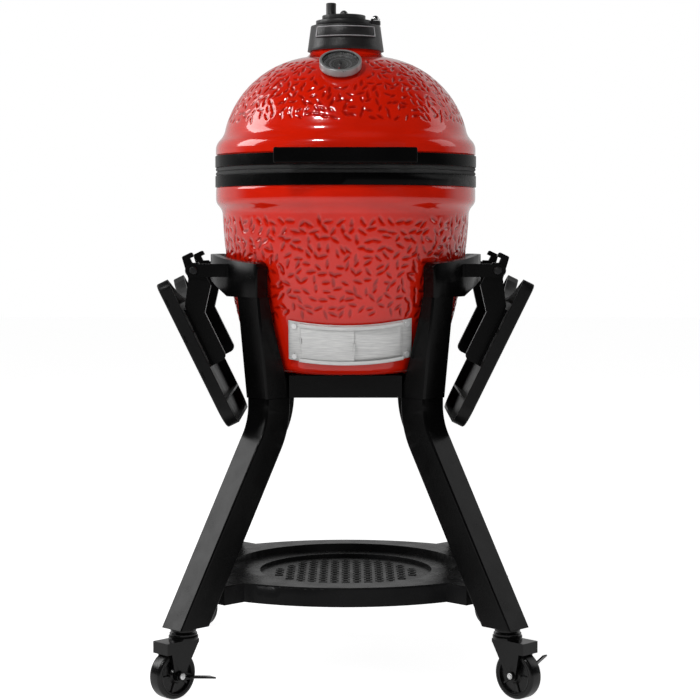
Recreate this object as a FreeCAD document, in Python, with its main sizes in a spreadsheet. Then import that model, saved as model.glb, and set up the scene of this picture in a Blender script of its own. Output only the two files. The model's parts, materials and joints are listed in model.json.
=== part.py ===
"""Kamado ceramic grill on a four-legged cart, as an assembly of separate pieces.

Frame: millimetres, +Z up, origin on the floor under the ceramic body's axis. The front, where the
draft door and the thermometer are, faces -Y, and +X is to the right of someone standing in front.
"""

import FreeCAD, Part

import math
import os
import re

import Sketcher

Vector = FreeCAD.Vector
X_AXIS = Vector(1, 0, 0)
Y_AXIS = Vector(0, 1, 0)
Z_AXIS = Vector(0, 0, 1)

# Driving dimensions, in millimetres and degrees.
DIMENSIONS = {
    # ceramic shells and the seam between them
    "seam_height": 816.5,
    "gasket_height": 6.8,
    "lid_gap": 0.2,
    "rim_radius": 214.5,
    "rim_inner": 187,
    "wall": 25,
    "base_bottom": 490,
    "base_foot_radius": 139,
    "base_foot_round": 18,
    "base_arc_radius": 816,
    "base_arc_x": 611.5,
    "base_arc_height": 780.7,
    "base_crease": 746,
    "dome_arc_radius": 158.5,
    "dome_arc_x": 45.2,
    "dome_arc_height": 846.8,
    "dome_crease": 887,
    "neck_radius": 57,
    "neck_top": 1024,
    "flue_radius": 44,
    # clamping bands
    "band_radius": 215.6,
    "band_height": 18.5,
    "band_seat": 212.4,
    # lid handle
    "handle_length": 220,
    "handle_height": 24,
    "handle_depth": 16,
    "handle_front": 252,
    "handle_middle": 835.5,
    "handle_tab_x": 84,
    # rear hinge
    "hinge_y": 238,
    "hinge_pin_radius": 5,
    "hinge_ear": 4,
    "hinge_base_x": 46,
    "hinge_arm_x": 38,
    # top vent
    "vent_foot_radius": 63,
    "vent_top_radius": 57.5,
    "vent_foot": 1014.5,
    "vent_top": 1056,
    "vent_centre_x": 3,
    "vent_pivot_x": 49,
    "cap_radius": 46,
    "cap_bottom": 1057.5,
    "cap_thickness": 7,
    "wheel_radius": 35.8,
    "wheel_thickness": 8.6,
    "petal_radius": 5.2,
    "petal_circle": 21,
    "knob_radius": 8.2,
    "knob_top": 1094,
    # thermometer
    "gauge_x": 8,
    "gauge_y": 136,
    "gauge_height": 976.6,
    "gauge_tilt": 35,
    "gauge_radius": 33.5,
    "gauge_depth": 15,
    "stem_radius": 4,
    "stem_length": 62,
    # draft door
    "door_height": 589.3,
    "door_tilt": 17.4,
    "door_rise": 4.4,
    "door_sheet": 1.4,
    "door_frame_radius": 177.6,
    "door_half": 33,
    "door_left": 30.4,
    "door_right": 36,
    "window_left": 23,
    "window_right": 29.5,
    # cart
    "strap_inner": 214,
    "strap_outer": 224,
    "strap_bottom": 615,
    "strap_top": 681,
    "leg_width": 50,
    "leg_sheet": 2.5,
    "leg_gap": 7.5,
    "leg_joint": 453,
    "leg_bottom": 107,
    "leg_outer": 200,
    "leg_inner": 149,
    "knee_height": 440.5,
    "knee_radius": 90,
    "splay": 30.3,
    "cradle_half": 127,
    "cradle_top": 489.8,
    "cradle_bottom": 453,
    "cradle_sheet": 5,
    "shelf_top": 164,
    "shelf_rim": 30,
    "tray_radius": 191,
    "tray_well": 144,
    # folding side shelves
    "pivot_x": 243,
    "pivot_height": 656.5,
    "pivot_radius": 5,
    "arm_y": 111,
    "arm_plate": 12,
    "side_half": 155,
    "side_reach": 250,
    "side_underside": 41.7,
    "side_thickness": 20,
    "side_folded": 116,
    # casters
    "caster_place": 251,
    "caster_wheel": 37.5,
    "caster_trail": 22,
    "caster_tread": 24,
    "axle_radius": 4,
    # running clearance of every shaft, on the radius
    "running": 0.06,
}

doc = FreeCAD.newDocument("kamado_grill")
sheet = doc.addObject("Spreadsheet::Sheet", "Dims")
for row, (alias, value) in enumerate(DIMENSIONS.items(), 1):
    sheet.set(f"A{row}", alias)
    sheet.set(f"B{row}", str(value))
    sheet.setAlias(f"B{row}", alias)
doc.recompute()

ALIAS = re.compile(r"\b(" + "|".join(DIMENSIONS) + r")\b")
NODES = {}


# ---------------------------------------------------------------- sketching helpers


def number(expression):
    """The value of an expression in the sheet's own names."""
    return float(sheet.evalExpression(str(expression)))


def linked(expression):
    """The same expression as another object has to write it."""
    return ALIAS.sub(r"Dims.\1", str(expression))


def place(thing, position=(0, 0, 0), axis=Z_AXIS, angle=0):
    """Puts an object at a position given in the sheet's names, turned about an axis."""
    spot = Vector(*(number(p) for p in position))
    thing.Placement = FreeCAD.Placement(spot, FreeCAD.Rotation(axis, number(angle)))
    for letter, expression in zip("xyz", position):
        thing.setExpression(f"Placement.Base.{letter}", linked(expression))
    return thing


def node(thing, name):
    """Names a finished sub-part: its Label is its file's name."""
    thing.Label = name
    NODES[name] = thing
    return thing


def new_body(name):
    return node(doc.addObject("PartDesign::Body", name), name)


def circle(x, y, radius):
    """A round loop for a sketch."""
    return ("circle", x, y, radius)


def rectangle(x_low, y_low, x_high, y_high):
    """A four-cornered loop for a sketch."""
    return [(x_low, y_low), (x_high, y_low), (x_high, y_high), (x_low, y_high)]


def sector(inner, outer, start, stop):
    """A ring sector; angles run from the front (-Y) towards +X."""
    return [
        (f"({inner}) * sin({start})", f"-({inner}) * cos({start})", f"-({inner})"),
        (f"({outer}) * sin({start})", f"-({outer}) * cos({start})"),
        (f"({outer}) * sin({stop})", f"-({outer}) * cos({stop})", outer),
        (f"({inner}) * sin({stop})", f"-({inner}) * cos({stop})"),
    ]


def turned_box(inner, outer, half, angle):
    """A rectangle that lies across a radius; the angle runs from the front towards +X."""
    return [
        (
            f"({r}) * sin({angle}) + ({side}) * cos({angle})",
            f"-({r}) * cos({angle}) + ({side}) * sin({angle})",
        )
        for r, side in ((inner, f"-({half})"), (outer, f"-({half})"), (outer, half), (inner, half))
    ]


def bind(sketch, kind, edge, vertex, expression):
    """Holds one coordinate of a sketch point to an expression."""
    value = number(expression)
    index = sketch.addConstraint(Sketcher.Constraint(kind, -1, 1, edge, vertex, value))
    sketch.setExpression(f"Constraints[{index}]", linked(expression))


def bind_radius(sketch, edge, expression):
    value = number(expression)
    index = sketch.addConstraint(Sketcher.Constraint("Radius", edge, value))
    sketch.setExpression(f"Constraints[{index}]", linked(expression))


def arc_between(start, end, radius):
    """The shorter arc from start to end: anticlockwise for a positive radius."""
    half = (end - start) * 0.5
    side = Vector(-half.y, half.x, 0).normalize()
    rise = math.sqrt(max(radius * radius - half.Length**2, 0.0))
    centre = start + half + side * math.copysign(rise, radius)
    first, last = (start, end) if radius > 0 else (end, start)
    angles = [math.atan2(p.y - centre.y, p.x - centre.x) for p in (first, last)]
    return Part.ArcOfCircle(Part.Circle(centre, Z_AXIS, abs(radius)), *angles)


def add_corners(sketch, corners):
    """A closed loop of (x, y) corners; (x, y, radius) makes the side that ends there an arc."""
    base = sketch.GeometryCount
    count = len(corners)
    points = [Vector(number(c[0]), number(c[1]), 0) for c in corners]
    ends = []
    for k, corner in enumerate(corners):
        if len(corner) == 2:
            sketch.addGeometry(Part.LineSegment(points[k - 1], points[k]))
            ends.append((1, 2))
        else:
            radius = number(corner[2])
            sketch.addGeometry(arc_between(points[k - 1], points[k], radius))
            ends.append((1, 2) if radius > 0 else (2, 1))
    for k, corner in enumerate(corners):
        edge = base + k
        ahead = (k + 1) % count
        joint = Sketcher.Constraint("Coincident", edge, ends[k][1], base + ahead, ends[ahead][0])
        sketch.addConstraint(joint)
        bind(sketch, "DistanceX", edge, ends[k][1], corner[0])
        bind(sketch, "DistanceY", edge, ends[k][1], corner[1])
        if len(corner) == 3 and abs(number(corner[2])) * 2 - (points[k] - points[k - 1]).Length > 0.01:
            bind_radius(sketch, edge, f"abs({corner[2]})")


def add_circle(sketch, x, y, radius):
    edge = sketch.GeometryCount
    centre = Vector(number(x), number(y), 0)
    sketch.addGeometry(Part.Circle(centre, Z_AXIS, number(radius)))
    bind(sketch, "DistanceX", edge, 3, x)
    bind(sketch, "DistanceY", edge, 3, y)
    bind_radius(sketch, edge, radius)


def sketch_on(body, role, loops, offset="0"):
    """A sketch on one of the body's own planes, moved along that plane's normal."""
    sketch = body.newObject("Sketcher::SketchObject", body.Name + "_sketch")
    plane = next(f for f in body.Origin.OriginFeatures if f.Role == role)
    sketch.AttachmentSupport = [(plane, "")]
    sketch.MapMode = "FlatFace"
    sketch.AttachmentOffset.Base.z = number(offset)
    sketch.setExpression("AttachmentOffset.Base.z", linked(offset))
    for loop in loops:
        if loop[0] == "circle":
            add_circle(sketch, *loop[1:])
        else:
            add_corners(sketch, loop)
    return sketch


def pad(body, role, loops, length, offset="0", symmetric=False):
    """Adds material from the sketch along its normal, or half each way."""
    sketch = sketch_on(body, role, loops, offset)
    feature = body.newObject("PartDesign::Pad", body.Name + "_pad")
    feature.Profile = sketch
    feature.SideType = "Symmetric" if symmetric else "One side"
    feature.setExpression("Length", linked(length))
    doc.recompute()
    return feature


def cut(body, role, loops, length, offset="0", symmetric=False):
    """Removes material from the sketch along its normal, or half each way."""
    doc.recompute()
    before = body.Shape.Volume
    sketch = sketch_on(body, role, loops, offset)
    feature = body.newObject("PartDesign::Pocket", body.Name + "_cut")
    feature.Profile = sketch
    feature.SideType = "Symmetric" if symmetric else "One side"
    feature.Reversed = not symmetric
    feature.setExpression("Length", linked(length))
    doc.recompute()
    if body.Shape.Volume > before - 0.01:
        raise RuntimeError(f"{body.Label}: {feature.Name} removed nothing")
    return feature


def lathe(name, corners):
    """A body turned about its own Z axis from an outline of radius and height."""
    body = new_body(name)
    sketch = sketch_on(body, "XZ_Plane", [corners])
    turn = body.newObject("PartDesign::Revolution", name + "_turn")
    turn.Profile = sketch
    turn.ReferenceAxis = (sketch, ["V_Axis"])
    turn.Angle = 360
    doc.recompute()
    return body


def round_edges(body, radius, wanted):
    """Fillets the edges of the body for which wanted(edge) is true."""
    doc.recompute()
    tip = body.Tip
    names = [f"Edge{i}" for i, edge in enumerate(tip.Shape.Edges, 1) if wanted(edge)]
    if not names:
        raise RuntimeError(f"{body.Label}: no edge to round")
    fillet = body.newObject("PartDesign::Fillet", body.Name + "_round")
    fillet.Base = (tip, names)
    fillet.Radius = radius
    doc.recompute()
    return fillet


def repeat_line(body, feature, role, length, count):
    """Repeats a feature along one of the body's axes, over a length."""
    pattern = body.newObject("PartDesign::LinearPattern", body.Name + "_pattern")
    axis = next(f for f in body.Origin.OriginFeatures if f.Role == role)
    pattern.Originals = [feature]
    pattern.Direction = (axis, [""])
    pattern.setExpression("Length", linked(length))
    pattern.Occurrences = count
    body.Tip = pattern
    doc.recompute()
    return pattern


def bolt_head(radius, height, outward, angle, rise):
    """A head that stands on a cylinder about Z: its distance out, its angle and its height."""
    head = doc.addObject("Part::Cylinder", "bolt_head")
    head.setExpression("Radius", linked(radius))
    head.setExpression("Height", linked(height))
    around = FreeCAD.Placement(Vector(0, 0, number(rise)), FreeCAD.Rotation(Z_AXIS, number(angle)))
    lying = FreeCAD.Placement(Vector(0, -number(outward), 0), FreeCAD.Rotation(X_AXIS, 90))
    head.Placement = around * lying
    return head


def group(name, pieces):
    """One node that holds identical separate pieces."""
    compound = doc.addObject("Part::Compound", name)
    compound.Links = pieces
    return node(compound, name)


# ---------------------------------------------------------------- ceramic shells, bands and gaskets

BAND_BASE_TOP = "seam_height - gasket_height - lid_gap"
BAND_LID_BOTTOM = "seam_height + gasket_height + lid_gap"


def base_radius(height, inset="0"):
    """The base's outer radius at a height, as an expression."""
    return (
        f"sqrt((base_arc_radius - ({inset})) ^ 2 - (base_arc_height - ({height})) ^ 2) - base_arc_x"
    )


def dome_radius(height, inset="0"):
    """The dome's outer radius at a height, as an expression."""
    return (
        f"dome_arc_x + sqrt((dome_arc_radius - ({inset})) ^ 2 - (({height}) - dome_arc_height) ^ 2)"
    )


def make_ceramic_base():
    floor = "base_bottom + wall"
    low = "base_bottom + base_foot_round"
    body = lathe(
        "ceramic_base",
        [
            ("0", "base_bottom"),
            ("base_foot_radius", "base_bottom"),
            (base_radius(low), low, "base_foot_round * 1.1"),
            (base_radius("base_crease"), "base_crease", "base_arc_radius"),
            ("rim_radius - 5", "base_crease + 14", "-20"),
            ("rim_radius", "base_crease + 26", "16"),
            ("rim_radius", "seam_height - 27.5"),
            ("band_seat - 0.3", "seam_height - 26"),
            ("band_seat - 0.3", BAND_BASE_TOP),
            ("rim_inner", BAND_BASE_TOP),
            ("rim_inner - 4", "base_crease + 20"),
            (base_radius("base_crease", "wall"), "base_crease"),
            (base_radius(floor, "wall"), floor, "-(base_arc_radius - wall)"),
            ("0", floor),
        ],
    )
    port = rectangle("-62", "519", "84", "556")
    cut(body, "XZ_Plane", [port], "120", "90")
    return body


def make_ceramic_dome():
    crease = "dome_crease"
    body = lathe(
        "ceramic_dome",
        [
            ("rim_inner", BAND_LID_BOTTOM),
            ("band_seat - 0.3", BAND_LID_BOTTOM),
            ("band_seat - 0.3", "seam_height + 26"),
            ("rim_radius", "seam_height + 27.5"),
            ("rim_radius", "seam_height + 35"),
            ("rim_radius - 6", "seam_height + 51", "22"),
            (dome_radius(crease), crease, "-34"),
            (dome_radius("1003"), "1003", "dome_arc_radius"),
            ("neck_radius + 1.2", "1012", "-17"),
            ("neck_radius", "neck_top - 3"),
            ("neck_radius - 3", "neck_top", "3"),
            ("flue_radius", "neck_top"),
            ("flue_radius", "984"),
            (dome_radius("979", "wall"), "979", "30"),
            (dome_radius("dome_arc_height", "wall"), "dome_arc_height", "-(dome_arc_radius - wall)"),
        ],
    )
    hole = sketch_on(body, "XY_Plane", [circle("0", "0", "stem_radius + 1.5")])
    start = ("-gauge_x", "-gauge_y - 10 * sin(gauge_tilt)", "gauge_height + 10 * cos(gauge_tilt)")
    hole.AttachmentOffset = FreeCAD.Placement(
        Vector(*(number(s) for s in start)), FreeCAD.Rotation(X_AXIS, number("gauge_tilt"))
    )
    for letter, expression in zip("xyz", start):
        hole.setExpression(f"AttachmentOffset.Base.{letter}", linked(expression))
    doc.recompute()
    before = body.Shape.Volume
    drill = body.newObject("PartDesign::Pocket", "ceramic_dome_drill")
    drill.Profile = hole
    drill.Length = 80
    doc.recompute()
    if body.Shape.Volume > before - 0.01:
        raise RuntimeError("ceramic_dome: the stem's hole is missing")
    return body


def make_bands():
    """Two steel hoops that clamp the shells; the upper one carries the handle's two tabs."""
    low = f"{BAND_BASE_TOP} - band_height"
    lathe(
        "base_band",
        [
            ("band_seat", low),
            ("band_radius - 0.8", low),
            ("band_radius", f"{low} + 0.8", "0.8"),
            ("band_radius", f"{BAND_BASE_TOP} - 0.8"),
            ("band_radius - 0.8", BAND_BASE_TOP, "0.8"),
            ("band_seat", BAND_BASE_TOP),
        ],
    )
    high = f"{BAND_LID_BOTTOM} + band_height"
    hoop = lathe(
        "dome_band",
        [
            ("band_seat", BAND_LID_BOTTOM),
            ("band_radius - 0.8", BAND_LID_BOTTOM),
            ("band_radius", f"{BAND_LID_BOTTOM} + 0.8", "0.8"),
            ("band_radius", f"{high} - 0.8"),
            ("band_radius - 0.8", high, "0.8"),
            ("band_seat", high),
        ],
    )
    tab_back = "handle_front - handle_depth"
    tabs = [
        rectangle(f"{side} * handle_tab_x - 5", f"-({tab_back})", f"{side} * handle_tab_x + 5", "-190")
        for side in (-1, 1)
    ]
    pad(hoop, "XY_Plane", tabs, "14", f"{BAND_LID_BOTTOM} + 2.5")
    cut(hoop, "XY_Plane", [circle("0", "0", "band_seat")], "16", f"{BAND_LID_BOTTOM} + 1.5")


def make_gaskets():
    """Two felt rings; each shows as a round bead between the bands."""
    for name, low, high in (
        ("base_gasket", BAND_BASE_TOP, "seam_height - lid_gap"),
        ("dome_gasket", "seam_height + lid_gap", BAND_LID_BOTTOM),
    ):
        lathe(
            name,
            [
                ("rim_inner + 1", low),
                ("rim_radius - 3", low),
                ("rim_radius - 3", high, "gasket_height / 2"),
                ("rim_inner + 1", high),
            ],
        )


def make_handle():
    body = new_body("lid_handle")
    half = "handle_length / 2"
    low, high = "handle_middle - handle_height / 2", "handle_middle + handle_height / 2"
    face = rectangle(f"-({half})", low, half, high)
    pad(body, "XZ_Plane", [face], "handle_depth", "handle_front - handle_depth")
    round_edges(body, 3, lambda edge: edge.CenterOfMass.y < -number("handle_front - handle_depth") - 1)


# ---------------------------------------------------------------- rear hinge

HINGE_Z = "seam_height"


def make_hinge():
    base = new_body("hinge_base")
    foot = sector("band_radius + 0.2", "band_radius + 3.2", "166", "194")
    pad(base, "XY_Plane", [foot], "20", "seam_height - 28")
    base_ear = [
        ("212", "seam_height - 28"),
        ("228", "seam_height - 28"),
        ("hinge_y + 9", HINGE_Z),
        ("hinge_y - 9", HINGE_Z, "9"),
        ("212", "seam_height - 12"),
    ]
    for side in (-1, 1):
        spot = f"{side} * (hinge_base_x + hinge_ear / 2) - hinge_ear / 2"
        pad(base, "YZ_Plane", [base_ear], "hinge_ear", spot)
    bore = circle("hinge_y", HINGE_Z, "hinge_pin_radius + running")
    cut(base, "YZ_Plane", [bore], "4 * hinge_base_x", symmetric=True)

    arm = new_body("hinge_arm")
    saddle = sector("band_radius + 0.2", "band_radius + 3.2", "168.5", "191.5")
    pad(arm, "XY_Plane", [saddle], "16", "seam_height + 9.5")
    arm_ear = [
        ("212.5", "seam_height + 25.5"),
        ("212.5", "seam_height + 11"),
        ("hinge_y - 8", HINGE_Z),
        ("hinge_y + 8", HINGE_Z, "8"),
        ("226", "seam_height + 25.5"),
    ]
    for side in (-1, 1):
        spot = f"{side} * (hinge_arm_x + hinge_ear / 2) - hinge_ear / 2"
        pad(arm, "YZ_Plane", [arm_ear], "hinge_ear", spot)
    bore = circle("hinge_y", HINGE_Z, "hinge_pin_radius + running")
    cut(arm, "YZ_Plane", [bore], "4 * hinge_base_x", symmetric=True)

    end = "hinge_base_x + hinge_ear"
    pin = lathe(
        "hinge_pin",
        [
            ("0", f"-({end}) - 4"),
            ("hinge_pin_radius + 3", f"-({end}) - 4"),
            ("hinge_pin_radius + 3", f"-({end})"),
            ("hinge_pin_radius", f"-({end})"),
            ("hinge_pin_radius", end),
            ("hinge_pin_radius + 3", end),
            ("hinge_pin_radius + 3", f"{end} + 4"),
            ("0", f"{end} + 4"),
        ],
    )
    place(pin, ("0", "hinge_y", HINGE_Z), Y_AXIS, 90)


def make_hinge_springs():
    """Two counterbalance coils on the pin."""
    coils = []
    for side in (-1, 1):
        helix = doc.addObject("Part::Helix", "coil_path")
        helix.setExpression("Radius", "Dims.hinge_pin_radius + 3.4")
        helix.Pitch = 4.2
        helix.Height = 25.2
        wire = doc.addObject("Part::Circle", "coil_wire")
        wire.Radius = 1.6
        wire.Placement = FreeCAD.Placement(
            Vector(number("hinge_pin_radius + 3.4"), 0, 0), FreeCAD.Rotation(X_AXIS, 90)
        )
        coil = doc.addObject("Part::Sweep", "coil")
        coil.Sections = [wire]
        coil.Spine = (helix, ["Edge1"])
        coil.Solid = True
        coil.Frenet = True
        place(coil, (f"{side} * 20 - 12.6", "hinge_y", HINGE_Z), Y_AXIS, 90)
        coils.append(coil)
    group("hinge_springs", coils)


# ---------------------------------------------------------------- top vent


def make_vent():
    collar = lathe(
        "vent_collar",
        [
            ("neck_radius + 2", "vent_foot"),
            ("vent_foot_radius", "vent_foot"),
            ("vent_top_radius", "vent_top - 1.5"),
            ("vent_top_radius - 1.5", "vent_top", "1.5"),
            ("flue_radius - 2", "vent_top"),
            ("flue_radius - 2", "neck_top + 1"),
            ("neck_radius + 2", "neck_top + 1"),
        ],
    )
    cut(collar, "XY_Plane", [circle("vent_pivot_x", "0", "4")], "14", "vent_top - 13")

    cap = new_body("vent_cap")
    centre = "-vent_centre_x"
    pad(cap, "XY_Plane", [circle(centre, "0", "cap_radius")], "cap_thickness", "cap_bottom")
    pad(cap, "XY_Plane", [circle("vent_pivot_x", "0", "8.5")], "cap_thickness", "cap_bottom")
    lug = rectangle("vent_pivot_x - 14", "-8.5", "vent_pivot_x", "8.5")
    pad(cap, "XY_Plane", [lug], "cap_thickness", "cap_bottom")
    cut(cap, "XY_Plane", [circle("vent_pivot_x", "0", "4 + running")], "20", "cap_bottom - 2")
    cut(cap, "XY_Plane", petals("36"), "20", "cap_bottom - 2")
    wheel_top = "cap_bottom + cap_thickness + wheel_thickness"
    pad(cap, "XY_Plane", [circle(centre, "0", "4")], "wheel_thickness + 0.8", "cap_bottom + cap_thickness")
    pad(cap, "XY_Plane", [circle(centre, "0", "6.5")], "6", f"{wheel_top} + 0.5")
    round_edges(cap, 3, lambda edge: edge.CenterOfMass.z > number(f"{wheel_top} + 6"))

    wheel = new_body("daisy_wheel")
    wheel_low = "cap_bottom + cap_thickness + 0.3"
    pad(wheel, "XY_Plane", [circle(centre, "0", "wheel_radius")], "wheel_thickness - 0.2", wheel_low)
    round_edges(
        wheel, 1.2, lambda edge: edge.CenterOfMass.z > number(wheel_low) + 4 and edge.Length > 50
    )
    cut(wheel, "XY_Plane", petals("0"), "14", f"{wheel_low} - 1")
    cut(wheel, "XY_Plane", [circle(centre, "0", "4 + running")], "14", f"{wheel_low} - 1")
    knob = circle("-vent_centre_x - petal_circle", "0", "knob_radius")
    pad(wheel, "XY_Plane", [knob], f"knob_top - ({wheel_low}) - 4", f"{wheel_low} + 4")
    round_edges(wheel, 2, lambda edge: edge.CenterOfMass.z > number("knob_top") - 0.5)

    bolt = lathe(
        "vent_pivot_bolt",
        [
            ("0", "vent_top - 12.5"),
            ("4", "vent_top - 12.5"),
            ("4", "cap_bottom + cap_thickness + 0.4"),
            ("7", "cap_bottom + cap_thickness + 0.4"),
            ("7", "cap_bottom + cap_thickness + 3.5"),
            ("3", "cap_bottom + cap_thickness + 7.6", "6"),
            ("0", "cap_bottom + cap_thickness + 7.6"),
        ],
    )
    place(bolt, ("vent_pivot_x", "0", "0"))


def petals(start):
    """Five round openings about the vent's middle; the first is at this angle from +X."""
    return [
        circle(
            f"-vent_centre_x + petal_circle * cos({start} + {72 * k})",
            f"petal_circle * sin({start} + {72 * k})",
            "petal_radius",
        )
        for k in range(5)
    ]


# ---------------------------------------------------------------- thermometer


def place_on_gauge(thing):
    return place(thing, ("-gauge_x", "-gauge_y", "gauge_height"), X_AXIS, "gauge_tilt")


def make_thermometer():
    """Each piece is built along the dial's own axis, then set on the slope of the dome."""
    case = lathe(
        "thermometer_case",
        [
            ("0", "-stem_length"),
            ("stem_radius", "-stem_length"),
            ("stem_radius", "1.5"),
            ("gauge_radius - 3", "1.5"),
            ("gauge_radius", "4.5", "3"),
            ("gauge_radius", "gauge_depth - 1.5"),
            ("gauge_radius - 1.5", "gauge_depth", "1.5"),
            ("gauge_radius - 4", "gauge_depth"),
            ("gauge_radius - 4", "gauge_depth - 1.2"),
            ("gauge_radius - 2.4", "gauge_depth - 1.2"),
            ("gauge_radius - 2.4", "3.5"),
            ("0", "3.5"),
        ],
    )
    dial = new_body("thermometer_dial")
    pad(dial, "XY_Plane", [circle("0", "0", "gauge_radius - 2.6")], "3", "3.6")
    lens = new_body("thermometer_lens")
    pad(lens, "XY_Plane", [circle("0", "0", "gauge_radius - 2.6")], "1.4", "gauge_depth - 2.8")
    needle = new_body("thermometer_needle")
    pad(needle, "XY_Plane", [circle("0", "0", "2.6")], "3.2", "6.9")
    pointer = [("-1.4", "7"), ("-1.4", "0"), ("-0.5", "-23"), ("0.5", "-23"), ("1.4", "0"), ("1.4", "7")]
    pad(needle, "XY_Plane", [pointer], "0.8", "8")
    for piece in (case, dial, lens, needle):
        place_on_gauge(piece)


# ---------------------------------------------------------------- draft door


def place_on_door(thing):
    """The door's parts share a cylinder whose axis leans forward with the side of the base."""
    lean, lift = "-door_rise * sin(door_tilt)", "door_height + door_rise * cos(door_tilt)"
    return place(thing, ("0", lean, lift), X_AXIS, "door_tilt")


def make_draft_door():
    frame = new_body("draft_frame")
    skin = "door_frame_radius"
    skin_out = "door_frame_radius + door_sheet"
    height = "2 * door_half"
    left = sector(skin, skin_out, "-door_left", "-window_left")
    right = sector(skin, skin_out, "window_right", "door_right")
    pad(frame, "XY_Plane", [left, right], height, "-door_half")
    rail = sector(skin, skin_out, "-door_left", "door_right")
    web = sector(skin, f"{skin_out} + 5.6", "-window_left - 0.5", "window_right + 0.5")
    lip = sector(f"{skin_out} + 4.4", f"{skin_out} + 5.6", "-window_left - 0.5", "window_right + 0.5")
    for low in ("-door_half", "door_half - 8"):
        pad(frame, "XY_Plane", [rail], "8", low)
    for low in ("-door_half + 0.8", "door_half - 2.2"):
        pad(frame, "XY_Plane", [web], "1.4", low)
    for low in ("-door_half + 0.8", "door_half - 6.8"):
        pad(frame, "XY_Plane", [lip], "6", low)

    reach = "door_half - 3.2"
    outer = f"{skin_out} + 2.4"
    inner = f"{skin_out} + 0.5"
    panel = new_body("draft_door_left")
    tall, low = f"2 * ({reach})", f"-({reach})"
    left_edge = "-window_left + 0.2"
    pad(panel, "XY_Plane", [sector(outer, f"{outer} + 1.2", left_edge, "4.4")], tall, low)
    pad(panel, "XY_Plane", [sector(outer, f"{outer} + 6.5", "3.9", "4.4")], "20", "-15")
    pad(panel, "XY_Plane", [sector(outer, f"{outer} + 4", left_edge, f"{left_edge} + 0.5")], "11", "-2")
    slider = new_body("draft_door_right")
    pad(slider, "XY_Plane", [sector(inner, f"{inner} + 1.2", "2.2", "window_right - 0.2")], tall, low)

    screws = []
    for angle in ("-26.7", "32.8"):
        for height in ("-25.5", "25.5"):
            screws.append(bolt_head("4.4", "2.6", skin_out, angle, height))
    for piece in (frame, panel, slider, group("draft_screws", screws)):
        place_on_door(piece)


# ---------------------------------------------------------------- inside the base


def make_fire_parts():
    bowl = lathe(
        "fire_bowl",
        [
            ("104", "515.3"),
            ("122", "515.3"),
            ("151", "600", "240"),
            ("166", "690", "420"),
            ("148", "690"),
            ("133", "602", "-420"),
            ("116", "576", "-60"),
            ("70", "575"),
            ("70", "560"),
            ("106", "558"),
        ],
    )
    cut(bowl, "XZ_Plane", [rectangle("-45", "514", "45", "548")], "80", "80")
    lathe(
        "fire_ring",
        [("150", "690.3"), ("168", "690.3"), ("172", "770"), ("154", "770")],
    )
    slotted_disc("charcoal_grate", "84", "575.3", "6", "7", 13)
    slotted_disc("cooking_grate", "177", "794.3", "5", "9", 25)

    rack = new_body("deflector_rack")
    pad(rack, "XY_Plane", [circle("0", "0", "169"), circle("0", "0", "150")], "3", "770.3")
    bars = [rectangle("-152", "-4", "152", "4")]
    pad(rack, "XY_Plane", bars, "3", "770.3")
    bars = [rectangle("-4", "-152", "4", "152")]
    pad(rack, "XY_Plane", bars, "3", "770.3")
    for angle in (30, 150, 270):
        pad(rack, "XY_Plane", [turned_box("159", "167", "5", str(angle))], "20.8", "773.3")
    plate = new_body("heat_deflector")
    pad(plate, "XY_Plane", [circle("0", "0", "142")], "12", "773.5")
    round_edges(plate, 3, lambda edge: edge.CenterOfMass.z > 785)


def slotted_disc(name, radius, height, thickness, bar_gap, slots):
    """A round grate: a disc cut by parallel slots, with its rim and a cross bar put back."""
    body = new_body(name)
    pad(body, "XY_Plane", [circle("0", "0", radius)], thickness, height)
    reach = f"({radius}) - 14"
    slot = rectangle(f"-({reach})", f"-({radius})", f"-({reach}) + {bar_gap}", radius)
    first = cut(body, "XY_Plane", [slot], thickness, height)
    repeat_line(body, first, "X_Axis", f"2 * ({reach}) - {bar_gap}", slots)
    pad(body, "XY_Plane", [circle("0", "0", radius), circle("0", "0", f"{radius} - 8")], thickness, height)
    pad(body, "XY_Plane", [rectangle(f"2 - ({radius})", "-4", f"{radius} - 2", "4")], thickness, height)


# ---------------------------------------------------------------- cart

CORNERS = {"front_right": 45, "rear_right": 135, "rear_left": 225, "front_left": 315}


def toward(thing, angle, x="0"):
    """Turns a piece built along +X to point at an angle counted from the front towards +X."""
    turn = math.radians(angle - 90)
    along, across = f"({x}) * {math.cos(turn):.9f}", f"({x}) * {math.sin(turn):.9f}"
    place(thing, (along, across, "0"), Z_AXIS, angle - 90)
    return thing


def is_long_edge(edge, half):
    """True for an edge that runs down a leg at one of its two side faces."""
    box = edge.BoundBox
    return abs(abs(edge.CenterOfMass.y) - half) < 0.01 and box.YLength < 0.01 and box.ZLength > 20


def make_straps():
    """Each side's steel strap runs round the body from the front leg's shoulder to the rear leg's."""
    for name, turn in (("side_strap_right", 0), ("side_strap_left", 180)):
        body = new_body(name)
        ring = sector("strap_inner", "strap_outer", "45", "135")
        pad(body, "XY_Plane", [ring], "strap_top - strap_bottom", "strap_bottom")
        below = [
            ("-118", "strap_bottom - 5"),
            ("118", "strap_bottom - 5"),
            ("118", "strap_bottom"),
            ("-118", "strap_bottom", "281"),
        ]
        cut(body, "YZ_Plane", [below], "150", "100")
        for angle in ("45", "135"):
            shoulder = sector("199.5", "strap_outer", f"{angle} - 6.9", f"{angle} + 6.9")
            pad(body, "XY_Plane", [shoulder], "strap_top - strap_bottom - 10", "strap_bottom")
        round_edges(body, 12, is_shoulder_top)
        for side in (-1, 1):
            slope = [
                (f"{side} * 60", "strap_top"),
                (f"{side} * 190", "strap_top - 15"),
                (f"{side} * 190", "strap_top + 5"),
                (f"{side} * 60", "strap_top + 5"),
            ]
            cut(body, "YZ_Plane", [slope], "200", "80")
        place(body, ("0", "0", "0"), Z_AXIS, turn)


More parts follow.
